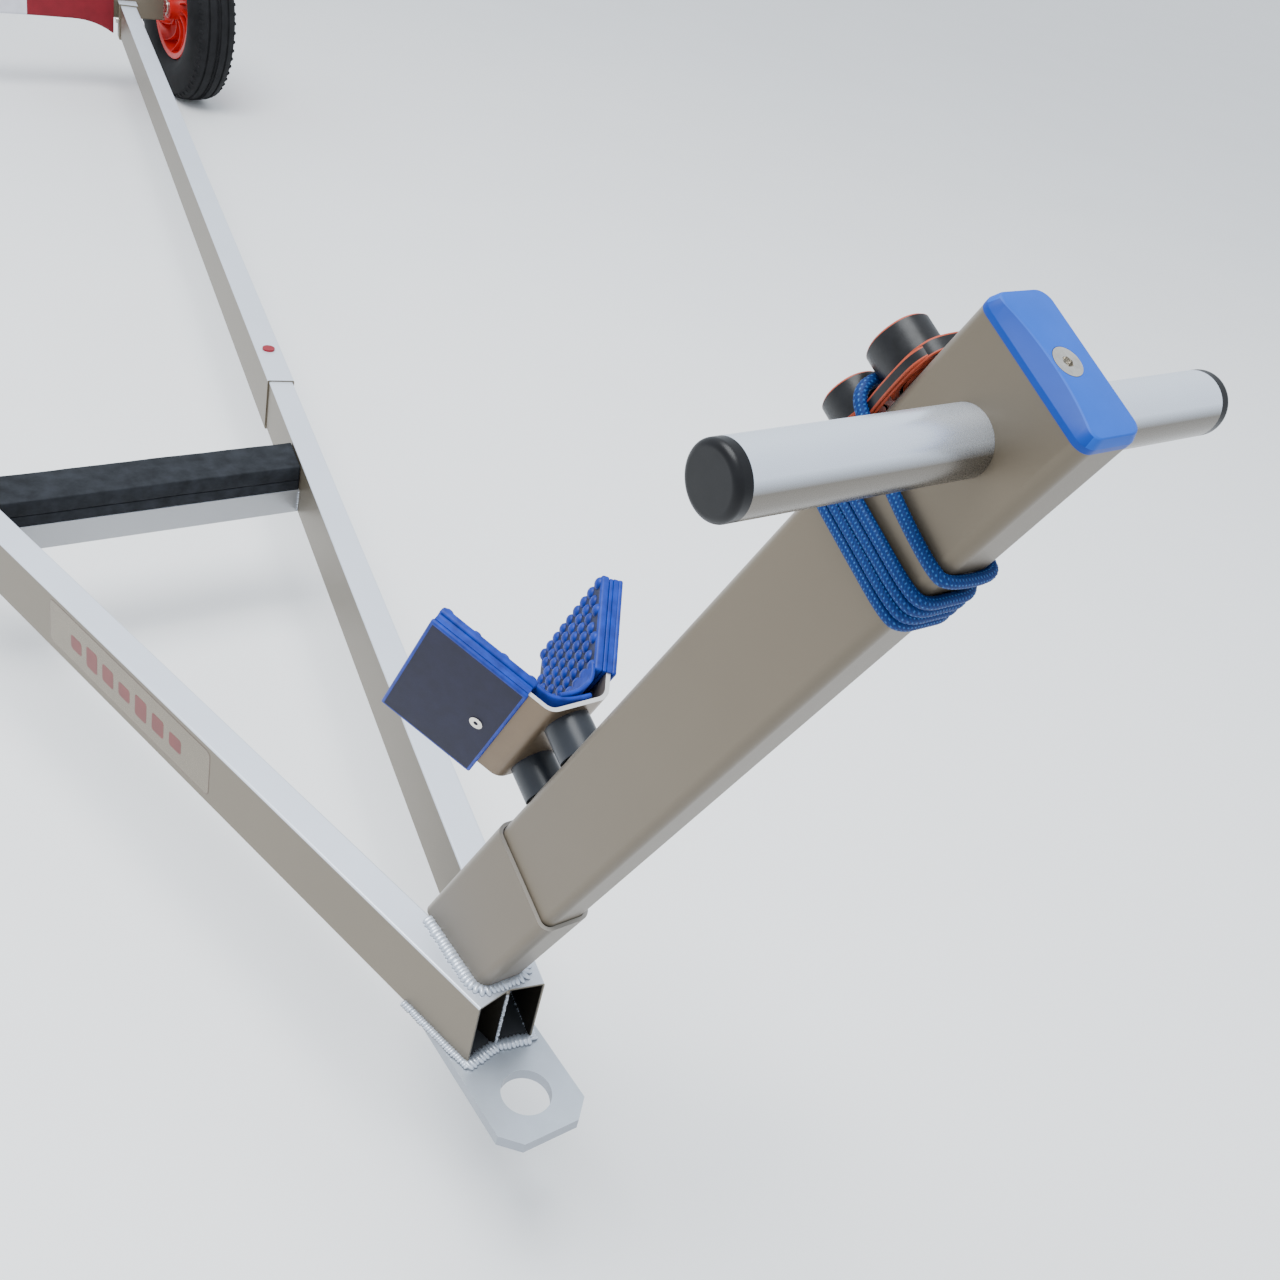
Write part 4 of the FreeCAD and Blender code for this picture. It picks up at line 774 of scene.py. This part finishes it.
def sticker():
    """A clear sticker on the left rail's outer face, with a thin border and a plain red shape."""
    where = rail_frame(-1)
    out = -(15 + 0.06) * MM
    bm = bmesh.new()
    low_y, high_y, low_z, high_z = 348 * MM, 618 * MM, -24 * MM, 27 * MM

    def slab(y1, z1, y2, z2, lift, look, radius=0.0):
        half_y, half_z = abs(y2 - y1) / 2, abs(z2 - z1) / 2
        ring = rounded_ring(half_y, half_z, max(radius, 0.2 * MM), 5)
        base = [bm.verts.new((out - lift, (y1 + y2) / 2 + a, (z1 + z2) / 2 + b)) for a, b in ring]
        face = bm.faces.new(base)
        face.material_index = look
        made = bmesh.ops.extrude_face_region(bm, geom=[face])["geom"]
        moved = [g for g in made if isinstance(g, bmesh.types.BMVert)]
        bmesh.ops.translate(bm, verts=moved, vec=(-0.08 * MM, 0, 0))

    slab(low_y, low_z, high_y, high_z, 0.0, 1, 6 * MM)
    slab(low_y + 0.8 * MM, low_z + 0.8 * MM, high_y - 0.8 * MM, high_z - 0.8 * MM, 0.05 * MM, 0, 5.3 * MM)
    # rising bars of one colour, with no letters
    for number in range(7):
        start = low_y + (44 + number * 28) * MM
        height = (16 + 4 * (number % 3)) * MM
        slab(start, -height / 2, start + 19 * MM, height / 2, 0.12 * MM, 2, 3 * MM)
    settle(bm, "rail_sticker", [STICKER_CLEAR, STICKER_LINE, STICKER_RED], "frame", (),
           where)


def axle_cover():
    """Canvas wrapped round the axle beam, white in the middle, its ends hanging lower beside the rails."""
    bm = bmesh.new()
    y0, z0, half = 2825 * MM, 59 * MM, 25 * MM
    reach = half + 3.0 * MM
    stations = 96
    rings = []
    dice = random.Random(8)
    for i in range(stations + 1):
        x = (-595 + 1190 * i / stations) * MM
        end = max(0.0, (abs(x) - 505 * MM) / (90 * MM))
        drop = 28 * MM * end ** 2.2
        sag = 2.5 * MM * math.sin(x * 9) + 1.2 * MM * math.sin(x * 31 + 1) + dice.uniform(-0.3, 0.3) * MM
        outline = []
        for a, b in rounded_ring(reach, reach, 6 * MM, 5):
            y, z = y0 + a, z0 + b
            if b < 0 and a < 0:
                z += -drop + sag * 0.4 - 3 * MM
            elif b < 0:
                z += sag * 0.4
            outline.append(bm.verts.new((x, y, z)))
        rings.append(outline)
    count = len(rings[0])
    for i, (one, two) in enumerate(zip(rings, rings[1:])):
        middle = abs(one[0].co.x + two[0].co.x) / 2
        for k in range(count):
            face = bm.faces.new((one[k], one[(k + 1) % count], two[(k + 1) % count], two[k]))
            face.material_index = 1 if middle < 405 * MM else 0
    bmesh.ops.recalc_face_normals(bm, faces=bm.faces)
    bmesh.ops.solidify(bm, geom=list(bm.faces), thickness=1.6 * MM)
    made = settle(bm, "axle_canvas", [CANVAS_RED, CANVAS_WHITE], "frame", ("axle_cover",),
                  sharp=60)


# ---------------------------------------------------------------- wheels
def spun(bm, outline, steps):
    """A closed outline of (across, out) pairs spun once round the wheel's axle, which is X."""
    verts = [bm.verts.new((a * MM, 0, r * MM)) for a, r in outline]
    edges = [bm.edges.new((verts[i], verts[(i + 1) % len(verts)])) for i in range(len(verts))]
    bmesh.ops.spin(bm, geom=verts + edges, cent=(0, 0, 0), axis=(1, 0, 0), angle=2 * math.pi, steps=steps,
                   use_merge=True)


def tyre(side):
    """A pneumatic tyre with three grooves round its tread and cross bars at its shoulders."""
    bm = bmesh.new()
    outside = [(30, 104.6), (33, 112.8), (38, 116), (45, 124), (48.6, 138), (49, 152), (47.5, 168), (44, 180),
               (40, 189), (35, 194.5), (28, 197.6), (24, 198.4), (22.5, 195.6), (20.5, 195.6), (19, 198.9),
               (12, 199.7), (6, 200), (4.5, 197), (1.5, 197), (0, 200)]
    inside = [(0, 190), (30, 186), (40, 160), (40, 136), (26, 116), (24, 104.6)]
    mirrored = [(-a, r) for a, r in outside[-2::-1]] + [(-a, r) for a, r in inside[::-1]]
    whole = outside + mirrored + inside[1:]
    spun(bm, whole, 120)
    bmesh.ops.remove_doubles(bm, verts=bm.verts, dist=0.01 * MM)
    bar = bmesh.new()
    block(bar, (-5 * MM, -3.2 * MM, -3.7 * MM), (5 * MM, 3.2 * MM, 3.7 * MM), 1.0 * MM, 1)
    bar_die = die_of(bar)
    places = []
    for number in range(60):
        turn = Matrix.Rotation(2 * math.pi * number / 60, 4, "X")
        for away in (-1, 1):
            lean = Matrix.Rotation(away * math.radians(32), 4, "Y")
            lean = lean @ Matrix.Rotation(away * math.radians(20), 4, "Z")
            places.append(turn @ Matrix.Translation((away * 37 * MM, 0, 190.0 * MM)) @ lean)
    stamp(bm, bar_die, places)
    place = Matrix.Translation((SIDES[side] * WHEEL_AT, 2825 * MM, 59 * MM))
    settle(bm, "tyre_rubber_" + side, [TYRE_BLACK], "wheel_" + side, ("tyre_" + side,), place,
           sharp=40)


def rim(side):
    """A moulded rim with a dished web, a hub and swept ribs on both faces."""
    bm = bmesh.new()
    half = [(48, 13.1), (48, 23), (46.5, 24.5), (40, 25), (14, 29), (9, 34), (8, 60), (9, 86), (15, 94),
            (30, 98), (36, 99.5), (38, 104), (37.5, 111), (35.5, 112.4), (33.4, 111), (33, 104.2), (0, 103)]
    whole = half + [(-a, r) for a, r in half[-2::-1]]
    spun(bm, whole, 96)
    bmesh.ops.remove_doubles(bm, verts=bm.verts, dist=0.01 * MM)
    ribs = 12
    for number in range(ribs):
        for away in (-1, 1):
            centres = []
            for i in range(9):
                share = i / 8
                r = (26 + 72 * share) * MM
                sweep_angle = 2 * math.pi * number / ribs + away * 0.5 * share ** 1.5
                radial = Vector((0, math.sin(sweep_angle), math.cos(sweep_angle)))
                side_way = Vector((0, math.cos(sweep_angle), -math.sin(sweep_angle)))
                depth = (20 + 9 * share ** 2 - 6 * math.sin(math.pi * share)) * MM
                centres.append((radial * r + Vector((away * 7 * MM, 0, 0)), side_way,
                                Vector((away * depth, 0, 0))))
            # a rib's height is a share of its depth there
            profile = [(-2.2 * MM, 0), (2.2 * MM, 0), (1.4 * MM, 0.96), (0.7 * MM, 1.0), (-0.7 * MM, 1.0),
                       (-1.4 * MM, 0.96)]
            sweep(bm, centres, profile)
    place = Matrix.Translation((SIDES[side] * WHEEL_AT, 2825 * MM, 59 * MM))
    settle(bm, "rim_moulding_" + side, [RIM_RED], "wheel_" + side, ("rim_" + side,), place,
           sharp=40)


# ---------------------------------------------------------------- put it together
def floor():
    """A pale ground under the wheels."""
    low = CAD_BOX[0][2]
    bm = bmesh.new()
    bmesh.ops.create_grid(bm, x_segments=1, y_segments=1, size=30)
    bmesh.ops.translate(bm, verts=bm.verts, vec=(0, 0, low))
    mesh = bpy.data.meshes.new("floor")
    bm.to_mesh(mesh)
    bm.free()
    material, tree, shader = begin("floor_pale", (0.9, 0.9, 0.9), 0.8)
    where = place_of(tree)
    cloud = noise(tree, where, 3)
    pale = ramp(tree, cloud, (0.3, (0.93, 0.93, 0.93)), (0.7, (0.95, 0.95, 0.95)))
    tree.links.new(pale, shader.inputs["Base Color"])
    mesh.materials.append(material)
    thing = bpy.data.objects.new("floor", mesh)
    bpy.context.scene.collection.objects.link(thing)


def world():
    """Even cool light from all round."""
    sky = bpy.data.worlds.new("studio")
    sky.use_nodes = True
    bpy.context.scene.world = sky
    sky.node_tree.nodes["Background"].inputs["Color"].default_value = (0.85, 0.92, 1.0, 1)
    sky.node_tree.nodes["Background"].inputs["Strength"].default_value = 1.25


camera()
floor()
world()
area_light("overhead", (-0.6, 0.6, 3.4), (0, 0.4, 0), 2.6, 190, (0.95, 0.98, 1.0))
dress_cad_nodes()
rope()
tie_strap()
for side in SIDES:
    cradle_pad(side)
cradle_liner()
top_cap()
nose_welds()
keel_pad()
sticker()
axle_cover()
for side in SIDES:
    tyre(side)
    rim(side)
